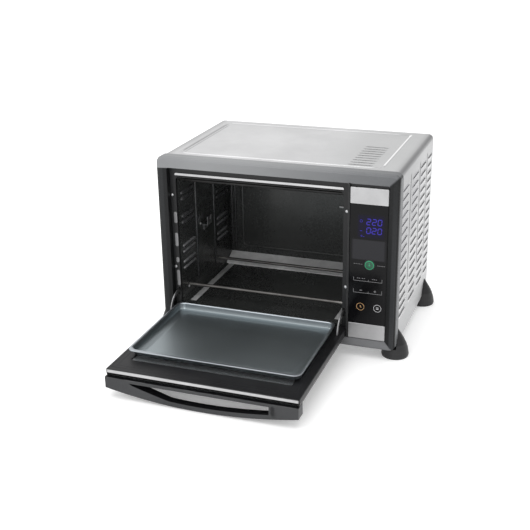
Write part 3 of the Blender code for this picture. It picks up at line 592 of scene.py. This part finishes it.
# ---------------- parts that repeat
def rows_tree():
    """Rows and columns of one part, laid on a face and given its finish."""
    tree = bpy.data.node_groups.new("Rows of a part", "GeometryNodeTree")
    tree.is_modifier = True
    kinds = [("Part", "Object"), ("Across", "Int"), ("Up", "Int"), ("Step across", "Float"),
             ("Step up", "Float"), ("Part turn", "Float"), ("Face turn", "Vector"),
             ("First place", "Vector"), ("Finish", "Material")]
    tree.interface.new_socket("Geometry", in_out="INPUT", socket_type="NodeSocketGeometry")
    for label, kind in kinds:
        tree.interface.new_socket(label, in_out="INPUT", socket_type="NodeSocket" + kind)
    tree.interface.new_socket("Geometry", in_out="OUTPUT", socket_type="NodeSocketGeometry")
    get = tree.nodes.new("NodeGroupInput").outputs
    lines = []
    for count, step, axis in (("Across", "Step across", "X"), ("Up", "Step up", "Y")):
        offset = add(tree, "ShaderNodeCombineXYZ", {axis: get[step]})
        lines.append(add(tree, "GeometryNodeMeshLine", {"Count": get[count], "Offset": offset}))
    field = add(tree, "GeometryNodeInstanceOnPoints", {"Points": lines[0], "Instance": lines[1]})
    points = add(tree, "GeometryNodeRealizeInstances", {0: field})
    part = add(tree, "GeometryNodeObjectInfo", {"Object": get["Part"]}).outputs["Geometry"]
    turn = add(tree, "ShaderNodeCombineXYZ", {"Z": get["Part turn"]})
    placed = add(tree, "GeometryNodeInstanceOnPoints", {"Points": points, "Instance": part,
                                                        "Rotation": turn})
    solid = add(tree, "GeometryNodeRealizeInstances", {0: placed})
    laid = add(tree, "GeometryNodeTransform", {"Geometry": solid, "Rotation": get["Face turn"],
                                               "Translation": get["First place"]})
    done = add(tree, "GeometryNodeSetMaterial", {"Geometry": laid, "Material": get["Finish"]})
    tree.links.new(done.outputs[0], tree.nodes.new("NodeGroupOutput").inputs[0])
    return tree


ROWS = rows_tree()
SEEDS = []


def seed(name, bm):
    """A part to repeat: X across, Y up, Z outwards, its foot just under Z = 0."""
    bmesh.ops.recalc_face_normals(bm, faces=bm.faces)
    mesh = bpy.data.meshes.new(name)
    bm.to_mesh(mesh)
    bm.free()
    ob = bpy.data.objects.new(name, mesh)
    bpy.context.scene.collection.objects.link(ob)
    SEEDS.append(ob)
    return ob


def rows(part, face, at, finish, across=1, up=1, step=(0.0, 0.0), turn=0.0):
    """The plain mesh of one field of parts, in the oven's own coordinates."""
    holder = bpy.data.objects.new("holder", bpy.data.meshes.new("holder"))
    bpy.context.scene.collection.objects.link(holder)
    mod = holder.modifiers.new("rows", "NODES")
    mod.node_group = ROWS
    values = {"Part": part, "Across": across, "Up": up, "Step across": step[0], "Step up": step[1],
              "Part turn": math.radians(turn), "Face turn": [math.radians(a) for a in FACES[face]],
              "First place": list(at), "Finish": finish}
    for item in ROWS.interface.items_tree:
        if item.in_out == "INPUT" and item.name in values:
            mod[item.identifier] = values[item.name]
    bpy.context.view_layer.update()
    graph = bpy.context.evaluated_depsgraph_get()
    solid = bpy.data.meshes.new_from_object(holder.evaluated_get(graph))
    holder.modifiers.remove(mod)
    bpy.data.objects.remove(holder)
    return solid


def field_piece(name, slot, fields, finish=None):
    """One piece on the oven's body from several fields of repeated parts."""
    bm = bmesh.new()
    for values in fields:
        solid = rows(finish=FINISHES[finish or slot].mat, **values)
        bm.from_mesh(solid)
        bpy.data.meshes.remove(solid)
    piece(name, bm, "body", slot, finish)


def hood_seed(name, length, width, rise):
    """A pressed louvre: it slopes out from its top edge to an open lower lip."""
    lip, under = 0.0003, -0.32       # depth of its foot, and how far the lip overhangs
    section = [(0.5, -lip / rise), (0.5, 0.02), (0.28, 0.40), (0.02, 0.80), (-0.30, 0.99),
               (-0.46, 1.0), (-0.46, 0.80), (under, 0.45), (under, -lip / rise)]
    stations = [(-1.0, 0.05), (-0.95, 0.45), (-0.86, 0.78), (-0.7, 0.97), (0.0, 1.0),
                (0.7, 0.97), (0.86, 0.78), (0.95, 0.45), (1.0, 0.05)]
    bm = bmesh.new()
    loft(bm, [[Vector((t * length / 2, v * width * (0.6 + 0.4 * s), h * rise * (s if h > 0 else 1)))
               for v, h in section] for t, s in stations])
    return seed(name, bm)


def rib_seed(name, length, width, rise):
    """A pressed bead with rounded ends and a rounded back."""
    arc = [(math.cos(math.radians(a)), math.sin(math.radians(a))) for a in range(0, 181, 30)]
    stations = [(-1.0, 0.08), (-0.97, 0.55), (-0.90, 0.85), (-0.8, 1.0), (0.8, 1.0), (0.90, 0.85),
                (0.97, 0.55), (1.0, 0.08)]
    bm = bmesh.new()
    loft(bm, [[Vector((t * length / 2, s * width / 2, -0.0003))] +
              [Vector((t * length / 2, c * s * width / 2, n * s * rise)) for c, n in arc] +
              [Vector((t * length / 2, -s * width / 2, -0.0003))] for t, s in stations])
    return seed(name, bm)


def plate_seed(name, length, width, rise, radius):
    """A flat rounded plate, such as the dark plate painted as the shade in a slot's mouth."""
    bm = bmesh.new()
    outline = round_rect((-length / 2, length / 2), (-width / 2, width / 2), radius, 3)
    loft(bm, [level(outline, -0.0004), level(outline, rise)])
    return seed(name, bm)


def screw_seed(name, radius, rise):
    """A domed screw head with a cross recess."""
    sides = 16
    bm = bmesh.new()
    profile = [(radius, -0.0004), (radius, rise * 0.3), (radius * 0.9, rise * 0.65),
               (radius * 0.72, rise * 0.92), (radius * 0.56, rise)]
    around = circle(sides)
    loops = [[Vector((r * c, r * s, h)) for c, s in around] for r, h in profile]
    star = [radius * (0.46 if i % 4 == 0 else 0.17) for i in range(sides)]
    for h, shrink in ((rise, 1.0), (rise * 0.35, 0.8)):
        loops.append([Vector((reach * shrink * c, reach * shrink * s, h))
                      for reach, (c, s) in zip(star, around)])
    loft(bm, loops)
    return seed(name, bm)


# ---------------- casing
SIDE_COLUMNS = (0.0600, 0.1475, 0.2225, 0.2880)      # middles of the louvre columns, along Y
COLUMN_LENGTHS = (0.055, 0.055, 0.050, 0.038)
LOUVRE_START, LOUVRE_STEP, LOUVRE_ROWS = 0.0690, 0.0163, 16


def bump_at(distance, half):
    """A smooth hump of height one over a width of twice half."""
    t = min(abs(distance) / half, 1.0)
    return 0.5 + 0.5 * math.cos(math.pi * t)


def rise_at(place, start, stop, soft):
    """One between start and stop, falling to nothing over soft at each end."""
    t = min(max((place - start) / soft, 0.0), 1.0) * min(max((stop - place) / soft, 0.0), 1.0)
    return t * t * (3 - 2 * t)


def casing_relief(x, y, z):
    """How far the casing's sheet stands out (+) or in (-) at a place."""
    if z < CASE_HIGH.z - 0.008:
        depth = sum(bump_at(y - g, 0.0036) for g in SIDE_GROOVES) * rise_at(z, 0.128, 0.330, 0.012)
        return -0.0011 * depth
    u = max(TOP_BEAD_X[0] - x, x - TOP_BEAD_X[1])
    v = max(TOP_BEAD_Y[0] - y, y - TOP_BEAD_Y[1])
    r = 0.014
    if u > -r and v > -r:
        away = math.hypot(u + r, v + r) - r
    else:
        away = max(u, v)
    outline = 0.0012 * bump_at(away, 0.0030)
    inner = 0.0008 * bump_at(away + 0.0075, 0.0020) if x < -0.15 else 0.0
    return outline + inner


def close_steps(low, high, coarse, fine_at, reach, fine):
    """Places from low to high, close together near fine_at."""
    places = {low, high}
    count = max(1, round((high - low) / coarse))
    places.update(low + (high - low) * i / count for i in range(count + 1))
    for middle in fine_at:
        number = round(2 * reach / fine)
        places.update(middle - reach + 2 * reach * i / number for i in range(number + 1))
    kept = []
    for place in sorted(p for p in places if low <= p <= high):
        if not kept or place - kept[-1] > fine * 0.5:
            kept.append(place)
    kept[-1] = high
    return kept


def case_wrap():
    """The sheet-steel wrap: both sides and the top, with its pressed grooves and beads."""
    half, top, bottom = CASE_HIGH.x, CASE_HIGH.z, CASE_LOW.z
    radius = 0.011
    ups = close_steps(bottom, top - radius, 0.009, (), 0, 0.001)
    arc = [math.radians(a) for a in range(10, 90, 10)]
    line = [(half, z, 1, 0) for z in ups]
    line += [(half - radius + radius * math.cos(a), top - radius + radius * math.sin(a),
              math.cos(a), math.sin(a)) for a in arc]
    across = close_steps(-half + radius, half - radius, 0.012,
                         (TOP_BEAD_X[0], TOP_BEAD_X[1], TOP_BEAD_X[0] + 0.0075), 0.004, 0.0008)
    line += [(x, top, 0, 1) for x in reversed(across)]
    line += [(-x, z, -nx, nz) for x, z, nx, nz in reversed(line[:len(ups) + len(arc)])]
    alongs = close_steps(CASE_LOW.y, CASE_HIGH.y, 0.010,
                         (*SIDE_GROOVES, *TOP_BEAD_Y), 0.0040, 0.0008)
    bm = bmesh.new()
    skins = []
    for inset in (0.0, 0.0009):
        skin = []
        for x, z, nx, nz in line:
            row = []
            for y in alongs:
                out = casing_relief(x, y, z) - inset
                row.append(bm.verts.new((x + nx * out, y, z + nz * out)))
            skin.append(row)
        skins.append(skin)
    outer, inner = skins
    last_row, last_col = len(line) - 1, len(alongs) - 1
    for i in range(last_row):
        for j in range(last_col):
            bm.faces.new((outer[i][j], outer[i + 1][j], outer[i + 1][j + 1], outer[i][j + 1]))
            bm.faces.new((inner[i][j + 1], inner[i + 1][j + 1], inner[i + 1][j], inner[i][j]))
    for i in range(last_row):
        for j in (0, last_col):
            bm.faces.new((outer[i][j], outer[i + 1][j], inner[i + 1][j], inner[i][j]))
    for j in range(last_col):
        for i in (0, last_row):
            bm.faces.new((outer[i][j], outer[i][j + 1], inner[i][j + 1], inner[i][j]))
    piece("case_wrap", bm, "body", "casing_steel", replaces=["outer_casing"], smooth=50)


def case_louvres():
    """Louvre columns on both sides, the small ones on the top, and the dark plates painted as shade
    in their mouths.
    """
    fields, mouths = [], []
    for length, middle in zip(COLUMN_LENGTHS, SIDE_COLUMNS):
        hood = hood_seed("hood_seed", length, 0.0080, 0.0020)
        mouth = plate_seed("mouth_seed", length * 0.95, 0.0036, 0.0002, 0.0016)
        for face, x in (("right", CASE_HIGH.x), ("left", CASE_LOW.x)):
            place = dict(face=face, up=LOUVRE_ROWS, step=(0, LOUVRE_STEP))
            fields.append(dict(part=hood, at=(x, middle, LOUVRE_START), turn=180, **place))
            mouths.append(dict(part=mouth, at=(x, middle, LOUVRE_START + 0.0048), **place))
    field_piece("case_louvres", "casing_steel", fields, "louvre_steel")
    field_piece("louvre_mouths", "casing_steel", mouths, "louvre_shade")
    place = dict(face="top", up=9, step=(0, LOUVRE_STEP))
    hood = hood_seed("top_hood_seed", 0.047, 0.0060, 0.0008)
    mouth = plate_seed("top_mouth_seed", 0.044, 0.0015, 0.0001, 0.0007)
    field_piece("top_louvres", "casing_steel",
                [dict(part=hood, at=(0.1485, 0.0560, CASE_HIGH.z), **place)])
    field_piece("top_louvre_mouths", "casing_steel",
                [dict(part=mouth, at=(0.1485, 0.0530, CASE_HIGH.z), **place)], "top_slit_shade")


def rear_fittings():
    """Rear cover louvres, base slots and the screws that hold both."""
    hood = hood_seed("rear_hood_seed", 0.060, 0.0070, 0.0015)
    mouth = plate_seed("rear_mouth_seed", 0.056, 0.0018, 0.0002, 0.0009)
    y = REAR_HIGH.y
    fields = [dict(part=hood, face="rear", at=(x, y, z), across=2, up=5, step=(0.075, 0.014))
              for x, z in ((0.170, 0.235), (-0.085, 0.235), (0.170, 0.110))]
    mouths = [dict(f, part=mouth, at=(f["at"][0], y, f["at"][2] - 0.0030)) for f in fields]
    slot = plate_seed("base_slot_seed", 0.034, 0.004, 0.0003, 0.0019)
    base = [dict(part=slot, face="under", at=(-0.12, 0.23, BASE_LOW.z), across=5, up=6,
                 step=(0.058, 0.018))]
    field_piece("rear_louvres", "zinc_sheet", fields)
    # The louvres' mouths and the base's slots are dark plates, painted shade in the openings.
    field_piece("rear_louvre_mouths", "component_black", mouths)
    field_piece("base_slots", "component_black", base)
    screw = screw_seed("screw_seed", 0.0036, 0.0016)
    w = REAR_HIGH.x - 0.012
    screws = [dict(part=screw, face="rear", at=(w, y, 0.032), across=3, up=3, step=(w, 0.148)),
              dict(part=screw, face="under", at=(-0.21, 0.30, BASE_LOW.z), across=2, up=2,
                   step=(0.42, 0.25))]
    field_piece("cover_screws", "bracket_steel", screws)


# ---------------- cavity
def cavity_fittings():
    """Pressed rack rails, jamb slots, corner beads, the rear wall's panel and the floor's rails."""
    long_rail = rib_seed("rail_seed", 0.058, 0.0085, 0.0042)
    fields = []
    for face, x in (("right", INSIDE_LEFT), ("left", INSIDE_RIGHT)):
        for z in (0.118, 0.152, 0.214, 0.262):
            for y in (0.064, 0.238):
                if face == "left" and y > 0.1 and 0.13 < z < 0.27:
                    continue
                fields.append(dict(part=long_rail, face=face, at=(x, y, z), up=2, step=(0, 0.0125)))
    post = rib_seed("post_seed", 0.235, 0.0042, 0.0024)
    fields += [dict(part=post, face="right", at=(INSIDE_LEFT, y, 0.186), turn=90)
               for y in (0.104, 0.196)]
    corner = rib_seed("corner_seed", 0.215, 0.0055, 0.0034)
    for x in (INSIDE_LEFT + 0.004, INSIDE_LEFT + 0.0120, INSIDE_RIGHT - 0.010):
        fields.append(dict(part=corner, face="front", at=(x, INSIDE_BACK, 0.176), turn=90))
    field_piece("rack_rails", "liner_enamel", fields, "rail_enamel")
    bm = bmesh.new()
    section = [(0.0, INSIDE_BACK + 0.0004), (0.0012, INSIDE_BACK - 0.0014),
               (0.0045, INSIDE_BACK - 0.0022), (0.0075, INSIDE_BACK - 0.0014),
               (0.0085, INSIDE_BACK + 0.0004)]
    bead(bm, (-0.180, 0.108), (0.076, 0.298), 0.014, section, facing)
    piece("rear_wall_panel", bm, "body", "liner_enamel")
    floor = INSIDE_FLOOR
    bm = bmesh.new()
    loft(bm, [[Vector((x, y, z)) for y, z in (
        (INSIDE_BACK + 0.0003, floor - 0.0003), (INSIDE_BACK + 0.0003, floor + 0.0170),
        (INSIDE_BACK - 0.0040, floor + 0.0150), (INSIDE_BACK - 0.0240, floor + 0.0060),
        (INSIDE_BACK - 0.0380, floor + 0.0014), (INSIDE_BACK - 0.0392, floor - 0.0003))]
        for x in (INSIDE_LEFT + 0.001, INSIDE_LEFT + 0.012, INSIDE_RIGHT - 0.012,
                  INSIDE_RIGHT - 0.001)])
    for x in (INSIDE_LEFT + 0.0090, INSIDE_RIGHT - 0.0210):
        block(bm, (x, x + 0.0120), (0.040, INSIDE_BACK - 0.0415), (floor - 0.0003, floor + 0.0008),
              0.0003)
    piece("floor_rails", bm, "body", "zinc_sheet", "floor_edge_grey")
    jamb_x, jamb_y = -0.2070, MOUTH_LOW.y
    slots = []
    for low, high in ((0.220, 0.243), (0.172, 0.200), (0.138, 0.149), (0.089, 0.122)):
        part = plate_seed("jamb_slot_seed", 0.0064, high - low, 0.0004, 0.0030)
        slots.append(dict(part=part, face="front", at=(jamb_x, jamb_y, (low + high) / 2)))
    field_piece("jamb_slots", "bracket_steel", slots, "stay_steel")
    screw = screw_seed("wall_screw_seed", 0.0030, 0.0016)
    places = [("right", (INSIDE_LEFT, 0.1250, 0.1840)), ("right", (INSIDE_LEFT, 0.2720, 0.2120)),
              ("right", (INSIDE_LEFT, 0.0560, 0.0720)),
              ("front", (-0.2118, jamb_y, 0.2770)), ("front", (-0.2118, jamb_y, 0.1290)),
              ("front", (MOUTH_HIGH.x - 0.0052, jamb_y, 0.2770)),
              ("front", (MOUTH_HIGH.x - 0.0052, jamb_y, 0.1290)),
              ("front", (0.1180, INSIDE_BACK, 0.1300))]
    field_piece("cavity_screws", "bracket_steel",
                [dict(part=screw, face=face, at=at) for face, at in places])


# ---------------- door
def door_fittings():
    """Ribs round the door frame and the seal round its glass."""
    bm = bmesh.new()
    top = DOOR_HIGH.z
    x, y = (DOOR_LOW.x, DOOR_HIGH.x), (DOOR_LOW.y, DOOR_HIGH.y)
    for inset, wide in ((0.0042, 0.0016), (0.0120, 0.0022)):
        section = [(inset, top - 0.0004), (inset + 0.2 * wide, top + 0.0002),
                   (inset + 0.8 * wide, top + 0.0002), (inset + wide, top - 0.0004)]
        bead(bm, (x[0], x[1]), (y[0] + 0.006, y[1] - 0.006), 0.006, section, level)
    piece("frame_ribs", bm, "door", "door_black")
    bm = bmesh.new()
    inner_low, inner_high = own("door_inner_glass")
    section = [(-0.0016, top - 0.0030), (-0.0012, top - 0.0004), (0.0004, top + 0.0001),
               (0.0020, top - 0.0006), (0.0026, top - 0.0013)]
    bead(bm, (inner_low.x, inner_high.x), (inner_low.y, inner_high.y), 0.005, section, level)
    piece("glass_seal", bm, "door", "jamb_black")


def handle_bow():
    """The handle: a straight bar with a crescent finger slot and a bow beyond it."""
    low, high = own("door_handle")
    left, right, roof = low.x, high.x, high.z - 0.0062       # roof: the slot's upper edge
    slot_left, slot_right = left + 0.046, right - 0.046
    end_low, thick = low.z + 0.0175, 0.0086                  # the bow's ends and its thickness
    taper, setback = 0.075, 0.0070       # length over which the slot opens; the bow's set-back
    ends, count = 5, 44                  # stations at each end and along the slot
    middle, half = (left + right) / 2, (right - left) / 2
    stations = [left + (slot_left - left) * i / ends for i in range(ends)]
    stations += [slot_left + (slot_right - slot_left) * i / count for i in range(count + 1)]
    stations += [slot_right + (right - slot_right) * i / ends for i in range(1, ends + 1)]
    bm = bmesh.new()
    columns = []
    for x in stations:
        inside = slot_left <= x <= slot_right
        # the slot closes to a point at the left and stays blunt at the right
        share = min(1.0, max(0.0, (x - slot_left) / taper)) ** 0.6
        under = low.z + (end_low - low.z) * ((x - middle) / half) ** 2
        sill = under + thick + (roof - under - thick) * (1 - share) * 0.995
        heights = [high.z, roof, sill if inside else (roof + under) / 2, under]
        lower_back = high.y - setback * share if inside else high.y
        backs = [high.y, high.y, lower_back, lower_back]
        columns.append(([bm.verts.new((x, low.y, z)) for z in heights],
                        [bm.verts.new((x, y, z)) for y, z in zip(backs, heights)], inside))
    for (f0, b0, in0), (f1, b1, in1) in zip(columns, columns[1:]):
        opened = in0 and in1
        for k in (0, 2) if opened else (0, 1, 2):
            bm.faces.new((f0[k], f0[k + 1], f1[k + 1], f1[k]))
            bm.faces.new((b0[k], b1[k], b1[k + 1], b0[k + 1]))
        bm.faces.new((f0[0], f1[0], b1[0], b0[0]))
        bm.faces.new((f0[3], b0[3], b1[3], f1[3]))
        if opened:
            bm.faces.new((f0[1], b0[1], b1[1], f1[1]))
            bm.faces.new((f0[2], f1[2], b1[2], b0[2]))
    bm.faces.new([*columns[0][0], *reversed(columns[0][1])])
    bm.faces.new([*reversed(columns[-1][0]), *columns[-1][1]])
    for f, b, _ in (columns[ends], columns[ends + count]):
        bm.faces.new((f[1], f[2], b[2], b[1]))
    piece("handle_bow", bm, "door", "handle_grey", replaces=["door_handle"], smooth=40,
          edge=0.0006)


# ---------------- crumb tray
def crumb_pan():
    """The tray pressed from one sheet, with a turned-out flange and a raised floor."""
    x, y, base = (TRAY_LOW.x, TRAY_HIGH.x), (TRAY_LOW.y, TRAY_HIGH.y), TRAY_LOW.z
    rim = TRAY_HIGH.z - 0.0020
    loops = []
    # from under the floor, out over the flange and back in: insets at the sides, the
    # front and the back, then the height and the corner radius
    for side, front, back, height, radius in (
            (0.0070, 0.0140, 0.0060, base, 0.011),
            (0.0052, 0.0118, 0.0042, base + 0.0006, 0.012),
            (0.0042, 0.0104, 0.0032, base + 0.0024, 0.012),
            (0.0038, 0.0095, 0.0029, rim - 0.0034, 0.012),
            (0.0020, 0.0050, 0.0014, rim - 0.0024, 0.0125),
            (0.0004, 0.0006, 0.0003, rim - 0.0022, 0.0135),
            (0.0000, 0.0000, 0.0000, rim - 0.0010, 0.014),
            (0.0005, 0.0008, 0.0004, rim - 0.0002, 0.0135),
            (0.0016, 0.0030, 0.0012, rim, 0.0125),
            (0.0032, 0.0080, 0.0026, rim - 0.0004, 0.0120),
            (0.0046, 0.0100, 0.0038, rim - 0.0018, 0.0116),
            (0.0052, 0.0112, 0.0042, base + 0.0034, 0.0112),
            (0.0062, 0.0126, 0.0052, base + 0.0016, 0.0104),
            (0.0084, 0.0150, 0.0074, base + 0.0008, 0.0090),
            (0.0200, 0.0270, 0.0190, base + 0.0008, 0.0120),
            (0.0224, 0.0294, 0.0214, base + 0.0014, 0.0110),
            (0.0262, 0.0332, 0.0252, base + 0.0014, 0.0100)):
        outline = round_rect((x[0] + side, x[1] - side), (y[0] + front, y[1] - back), radius, 6)
        loops.append(level(outline, height))
    bm = bmesh.new()
    loft(bm, loops)
    piece("crumb_pan", bm, "tray", "tray_steel", replaces=["crumb_tray"])


# ---------------- control panel
INK_FRONT, INK_BACK = GLASS_LOW.y - 0.00012, GLASS_LOW.y + 0.00006
SEGMENTS = {"0": "abcdef", "2": "abged"}


def dash(bm, x0, z0, x1, z1, width):
    """A straight printed line from one point of the glass to another."""
    along = Vector((x1 - x0, 0, z1 - z0)).normalized() * (width / 2)
    side = Vector((-along.z, 0, along.x))
    a, b = Vector((x0, 0, z0)), Vector((x1, 0, z1))
    outline = [a - along * 0.6 - side * 0.5, a - side - along * 0.2, b - side + along * 0.2,
               b + along * 0.6 - side * 0.5, b + along * 0.6 + side * 0.5, b + side + along * 0.2,
               a + side - along * 0.2, a - along * 0.6 + side * 0.5]
    loft(bm, [[Vector((p.x, INK_BACK, p.z)) for p in outline],
              [Vector((p.x, INK_FRONT, p.z)) for p in outline]])


def hoop(bm, x, z, radius, width, steps=28):
    """A printed ring."""
    inner, outer = radius - width / 2, radius + width / 2
    section = ((inner, INK_BACK), (outer, INK_BACK), (outer, INK_FRONT), (inner, INK_FRONT))
    loft(bm, [[Vector((x + r * c, y, z + r * s)) for r, y in section] for c, s in circle(steps)],
         closed=True)


def digit(bm, figure, x, z, wide, high, line):
    """A seven-segment figure with its lower left corner at x, z."""
    lean = 0.08 * high
    m, g = high / 2, line * 0.65
    ends = {"a": (0, high, wide, high), "g": (0, m, wide, m), "d": (0, 0, wide, 0),
            "f": (0, m, 0, high), "b": (wide, m, wide, high),
            "e": (0, 0, 0, m), "c": (wide, 0, wide, m)}
    for name in SEGMENTS[figure]:
        u0, v0, u1, v1 = ends[name]
        if v0 == v1:
            u0, u1 = u0 + g, u1 - g
        else:
            v0, v1 = v0 + g, v1 - g
        dash(bm, x + u0 + lean * v0 / high, z + v0, x + u1 + lean * v1 / high, z + v1, line)


def panel_marks():
    """Lit figures, printed brackets and round symbols on the glass."""
    bm = bmesh.new()
    for figures, z in (("220", 0.2605), ("020", 0.2440)):
        for i, figure in enumerate(figures):
            digit(bm, figure, 0.1755 + 0.0102 * i, z, 0.0066, 0.0108, 0.0014)
    for z in (0.2468, 0.2516):
        hoop(bm, 0.1843, z, 0.0004, 0.0006, steps=10)
    hoop(bm, 0.1655, 0.2665, 0.0022, 0.0006, steps=16)
    dash(bm, 0.1640, 0.2480, 0.1672, 0.2480, 0.0009)
    hoop(bm, 0.1665, 0.2385, 0.0012, 0.0006, steps=12)
    dash(bm, 0.1690, 0.2372, 0.1716, 0.2372, 0.0006)
    piece("lit_figures", bm, "body", "panel_black", "blue_light")
    bm = bmesh.new()
    z = (BUTTON_LOW.z + BUTTON_HIGH.z) / 2
    for i in range(5):
        for x in (0.1535 + 0.0034 * i, 0.1972 + 0.0030 * i):
            dash(bm, x, z, x + 0.0018, z, 0.0007)
    for low, high in ((0.1510, 0.1575), (0.1275, 0.1345)):
        dash(bm, 0.1535, low, 0.2065, low, 0.0006)
        for x in (0.1535, 0.2065):
            dash(bm, x, low, x, high, 0.0006)
        dash(bm, 0.1815, low, 0.1815, low + 0.0035, 0.0006)
    for x in (0.1600, 0.1635, 0.1690, 0.1725, 0.1880, 0.1915, 0.1950):
        dash(bm, x, 0.1560, x + 0.0020, 0.1560, 0.0009)
    dash(bm, 0.1655, 0.1325, 0.1695, 0.1325, 0.0011)
    dash(bm, 0.1920, 0.1325, 0.1960, 0.1325, 0.0011)
    dash(bm, 0.1940, 0.1305, 0.1940, 0.1345, 0.0011)
    piece("printed_marks", bm, "body", "panel_black", "white_ink")
    bm = bmesh.new()
    hoop(bm, 0.1993, 0.0995, 0.0070, 0.0006)
    for dz in (-0.0013, 0.0013):
        dash(bm, 0.1972, 0.0995 + dz, 0.2014, 0.0995 + dz, 0.0010)
    piece("bars_symbol", bm, "body", "panel_black", "symbol_ink")
    bm = bmesh.new()
    hoop(bm, 0.1672, 0.0995, 0.0070, 0.0006)
    dash(bm, 0.1672, 0.0985, 0.1672, 0.1020, 0.0010)
    dash(bm, 0.1672, 0.0985, 0.1692, 0.0985, 0.0009)
    piece("round_symbol", bm, "body", "panel_black", "gold_ink")


def button_marks():
    """The lit ring round the start button, the mark on its face and a painted highlight above it.
    """
    x, z = (BUTTON_LOW.x + BUTTON_HIGH.x) / 2, (BUTTON_LOW.z + BUTTON_HIGH.z) / 2
    radius = (BUTTON_HIGH.x - BUTTON_LOW.x) / 2
    front = BUTTON_LOW.y
    bm = bmesh.new()
    section = [(radius * 0.84, front + 0.0003), (radius * 0.85, front - 0.00008),
               (radius * 0.93, front - 0.00008), (radius * 0.945, front + 0.0004)]
    loft(bm, [[Vector((x + r * c, y, z + r * s)) for r, y in section] for c, s in circle(40)],
         closed=True)
    # The upper short dash is a painted highlight that glows like the lit ring; the lower one is the
    # mark.
    for height, wide in ((0.30, 0.10), (-0.06, 0.16)):
        block(bm, (x - radius * wide, x + radius * wide), (front - 0.00008, front + 0.0003),
              (z + radius * (height - 0.08), z + radius * (height + 0.08)), 0.00005)
    piece("button_glow", bm, "button", "button_green", "green_light")


# ---------------- studio
def studio():
    """Plain pale floor, soft light from above and the front, and the camera."""
    scene = bpy.context.scene
    scene.view_settings.view_transform = "Standard"
    camera = bpy.data.objects.new("camera", bpy.data.cameras.new("camera"))
    camera.data.lens = 64.53
    camera.location = (0.5568, -1.5909, 0.8234)
    camera.rotation_euler = (1.19448, 0.015947, 0.345924)
    scene.collection.objects.link(camera)
    scene.camera = camera
    world = bpy.data.worlds.new("studio")
    scene.world = world
    world.use_nodes = True
    sky = world.node_tree.nodes["Background"].inputs
    sky["Color"].default_value, sky["Strength"].default_value = (1, 1, 1, 1), 1.0
    for name, at, aim, size, power in (
            ("overhead", (-0.3, -0.1, 2.2), (0, 0.1, 0), 2.2, 20.0),
            ("left_front", (-2.2, -1.4, 1.4), (0, 0, 0.15), 1.4, 8.0),
            ("front_fill", (0.1, -2.4, 0.9), (-0.05, 0.1, 0.15), 1.0, 9.0)):
        lamp = bpy.data.objects.new(name, bpy.data.lights.new(name, "AREA"))
        lamp.data.size = size
        lamp.data.energy = power
        lamp.location = at
        lamp.rotation_euler = (Vector(aim) - Vector(at)).to_track_quat("-Z", "Y").to_euler()
        scene.collection.objects.link(lamp)
    bm = bmesh.new()
    bmesh.ops.create_grid(bm, x_segments=2, y_segments=2, size=8.0)
    mesh = bpy.data.meshes.new("floor")
    bm.to_mesh(mesh)
    bm.free()
    floor = bpy.data.objects.new("floor", mesh)
    scene.collection.objects.link(floor)
    f = Finish("floor_paper", (0.90, 0.90, 0.90), (0.92, 0.92, 0.92), 0.75, blotch=2.0, fine=80.0)
    f.lit((1, 1, 1), 0.22)
    mesh.materials.append(f.mat)


studio()
case_wrap()
case_louvres()
rear_fittings()
cavity_fittings()
door_fittings()
handle_bow()
crumb_pan()
panel_marks()
button_marks()
for ob in SEEDS:
    bpy.data.objects.remove(ob)
